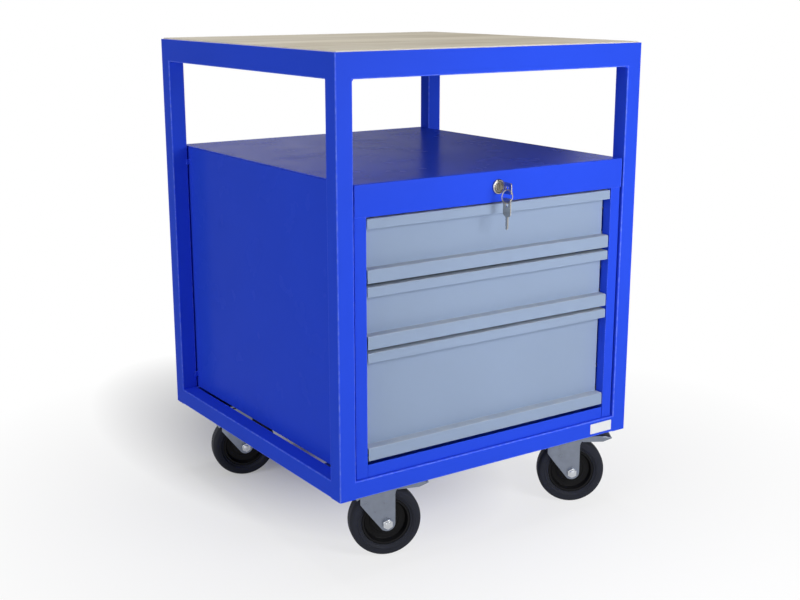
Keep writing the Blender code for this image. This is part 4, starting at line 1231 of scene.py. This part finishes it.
class WORKBENCH_OT_pedals(Operator):
    """Makes the brake pedals with a thin dark sheet on their tips"""

    bl_idname = "workbench.pedals"
    bl_label = "Brake pedals"

    def execute(self, context):
        for corner in BRAKED_CORNERS:
            name = f"brake_pedal_{corner}"
            body = f"pedal_{corner}"
            hinge = JOINTS[name]
            axle = -Vector(hinge["axis"])
            upward = Vector((0, 0, 1))
            turn = Matrix((axle.cross(upward), axle, upward)).transposed().to_4x4()
            axes = Matrix.Translation(hinge["pos_m"]) @ turn
            piece(f"pedal.{corner}", placed(pedal_lever(), axes), "zinc plating", body, name)
            # A thin dark navy sheet on the lever's tip.
            piece(f"pedal_pad.{corner}", placed(pedal_dark_tip(), axes), "pedal pad", body)
        return {"FINISHED"}


# Stage

WHITE = (1.0, 1.0, 1.0, 1.0)

# Lamps, each named as the setting of its power: place and size.
LAMPS = {
    "key": ((0.22, -1.33, 0.78), 0.6),
    "top": ((0.0, 0.0, 2.6), 1.2),
    "left": ((-3.0, -0.6, 1.5), 2.0),
    "right": ((2.4, 0.9, 1.3), 2.0),
}

# Where the backdrop that is seen in reflections fades out, as turns from +Y to the right.
BACKDROP_END = (math.radians(29), math.radians(40))

FLOOR_HALF_WIDTH = 6.0

# Patch of floor under the bench that keeps its own tone: shift and scale to a unit circle.
PATCH_SHIFT = (0.2, -1.5, 0.0)
PATCH_SCALE = (6.7, 3.6, 1.0)


def background_share(tree):
    """1 for rays that should see the white background: the camera's, and those by way of a gloss."""
    path = tree.nodes.new("ShaderNodeLightPath").outputs
    seen = math_node(tree, "MAXIMUM", path["Is Camera Ray"], path["Is Glossy Ray"])
    return math_node(tree, "MAXIMUM", seen, path["Is Transmission Ray"])


def studio_world(strength):
    """White all round for the camera, and for reflections a white backdrop that ends on the right."""
    world = bpy.data.worlds.new("studio")
    world.use_nodes = True
    tree = world.node_tree
    tree.nodes.clear()
    soft = node(tree, "ShaderNodeBackground", {"Color": WHITE, "Strength": strength}).outputs[0]
    direction = parts_of(tree, tree.nodes.new("ShaderNodeTexCoord").outputs["Generated"])
    turn = math_node(tree, "ARCTAN2", direction["X"], direction["Y"])
    backdrop = spread(tree, turn, low=1.0, high=0.12, start=BACKDROP_END[0], end=BACKDROP_END[1])
    seen = tree.nodes.new("ShaderNodeLightPath").outputs["Is Camera Ray"]
    level = math_node(tree, "MAXIMUM", seen, backdrop)
    white = node(tree, "ShaderNodeBackground", {"Color": WHITE, "Strength": level}).outputs[0]
    mixed = node(tree, "ShaderNodeMixShader", {0: background_share(tree), 1: soft, 2: white}).outputs[0]
    node(tree, "ShaderNodeOutputWorld", {"Surface": mixed})
    return world


def studio_floor(value):
    """Pale floor that keeps the shadow of the bench and looks white beyond it."""
    made = bpy.data.materials.new("studio floor")
    made.use_nodes = True
    tree = made.node_tree
    tree.nodes.clear()
    matt = node(tree, "ShaderNodeBsdfDiffuse", {"Color": solid_colour(value)}).outputs[0]
    white = node(tree, "ShaderNodeEmission", {"Color": WHITE, "Strength": 1.0}).outputs[0]
    place = tree.nodes.new("ShaderNodeTexCoord").outputs["Object"]
    whiteness = spread(tree, size_of(tree, place), low=0.72, high=1.0, start=0.30)
    inputs = {"Vector": place, "Location": PATCH_SHIFT, "Scale": PATCH_SCALE}
    patch = size_of(tree, node(tree, "ShaderNodeMapping", inputs).outputs[0])
    whiteness = times(tree, whiteness, spread(tree, patch, low=0.0, high=1.0, start=0.55, end=2.4))
    seen = times(tree, background_share(tree), whiteness)
    mixed = node(tree, "ShaderNodeMixShader", {0: seen, 1: matt, 2: white}).outputs[0]
    node(tree, "ShaderNodeOutputMaterial", {"Surface": mixed})
    return made


def area_light(name, place, target, size, energy):
    lamp = bpy.data.lights.new(name, "AREA")
    lamp.shape = "SQUARE"
    lamp.size = size
    lamp.energy = energy
    shown = bpy.data.objects.new(name, lamp)
    shown.location = place
    shown.visible_camera = False
    shown.rotation_euler = (Vector(target) - Vector(place)).to_track_quat("-Z", "Y").to_euler()
    bpy.context.scene.collection.objects.link(shown)


class WORKBENCH_OT_stage(Operator):
    """Makes the floor, the light and the camera"""

    bl_idname = "workbench.stage"
    bl_label = "Stage"

    def execute(self, context):
        stage = settings().stage
        scene = context.scene
        scene.view_settings.view_transform = "Standard"
        scene.world = studio_world(stage.sky)
        ground = bmesh.new()
        bmesh.ops.create_grid(ground, x_segments=1, y_segments=1, size=FLOOR_HALF_WIDTH)
        mesh = bpy.data.meshes.new("floor")
        ground.to_mesh(mesh)
        ground.free()
        mesh.materials.append(studio_floor(settings().colours.floor))
        floor = bpy.data.objects.new("floor", mesh)
        scene.collection.objects.link(floor)
        middle = (CAD_BOX[0] + CAD_BOX[1]) / 2
        for name, (place, size) in LAMPS.items():
            area_light(name, place, middle, size, getattr(stage, name))
        lens = bpy.data.cameras.new("camera")
        lens.lens = stage.lens
        camera = bpy.data.objects.new("camera", lens)
        camera.location = stage.camera
        camera.rotation_euler = (math.pi / 2 - stage.pitch, 0.0, -stage.heading)
        scene.collection.objects.link(camera)
        scene.camera = camera
        return {"FINISHED"}


OPERATORS = (
    WORKBENCH_OT_stage,
    WORKBENCH_OT_posts,
    WORKBENCH_OT_bottom_rails,
    WORKBENCH_OT_rim,
    WORKBENCH_OT_welds,
    WORKBENCH_OT_plate,
    WORKBENCH_OT_worktop,
    WORKBENCH_OT_cabinet,
    WORKBENCH_OT_drawer_fronts,
    WORKBENCH_OT_drawer_boxes,
    WORKBENCH_OT_runners,
    WORKBENCH_OT_lock,
    WORKBENCH_OT_keys,
    WORKBENCH_OT_forks,
    WORKBENCH_OT_wheels,
    WORKBENCH_OT_pedals,
)


class WORKBENCH_PT_finish(Panel):
    """Steps of the workbench's finish"""

    bl_label = "Mobile workbench"
    bl_space_type = "VIEW_3D"
    bl_region_type = "UI"
    bl_category = "Workbench"

    def draw(self, context):
        for step in OPERATORS:
            self.layout.operator(step.bl_idname)
        for group in (settings().steel, settings().fittings, settings().colours, settings().stage):
            box = self.layout.box()
            for name in group.bl_rna.properties.keys():
                if name not in {"rna_type", "name"}:
                    box.prop(group, name)


GROUPS = (SteelworkSizes, FittingSizes, FinishColours, StageSettings, WorkbenchSettings)
CLASSES = GROUPS + OPERATORS + (WORKBENCH_PT_finish,)


def register():
    for item in CLASSES:
        bpy.utils.register_class(item)
    bpy.types.Scene.workbench = PointerProperty(type=WorkbenchSettings)


def unregister():
    del bpy.types.Scene.workbench
    for item in reversed(CLASSES):
        bpy.utils.unregister_class(item)


def main():
    register()
    for step in OPERATORS:
        family, name = step.bl_idname.split(".")
        getattr(getattr(bpy.ops, family), name)()


if __name__ == "__main__":
    main()
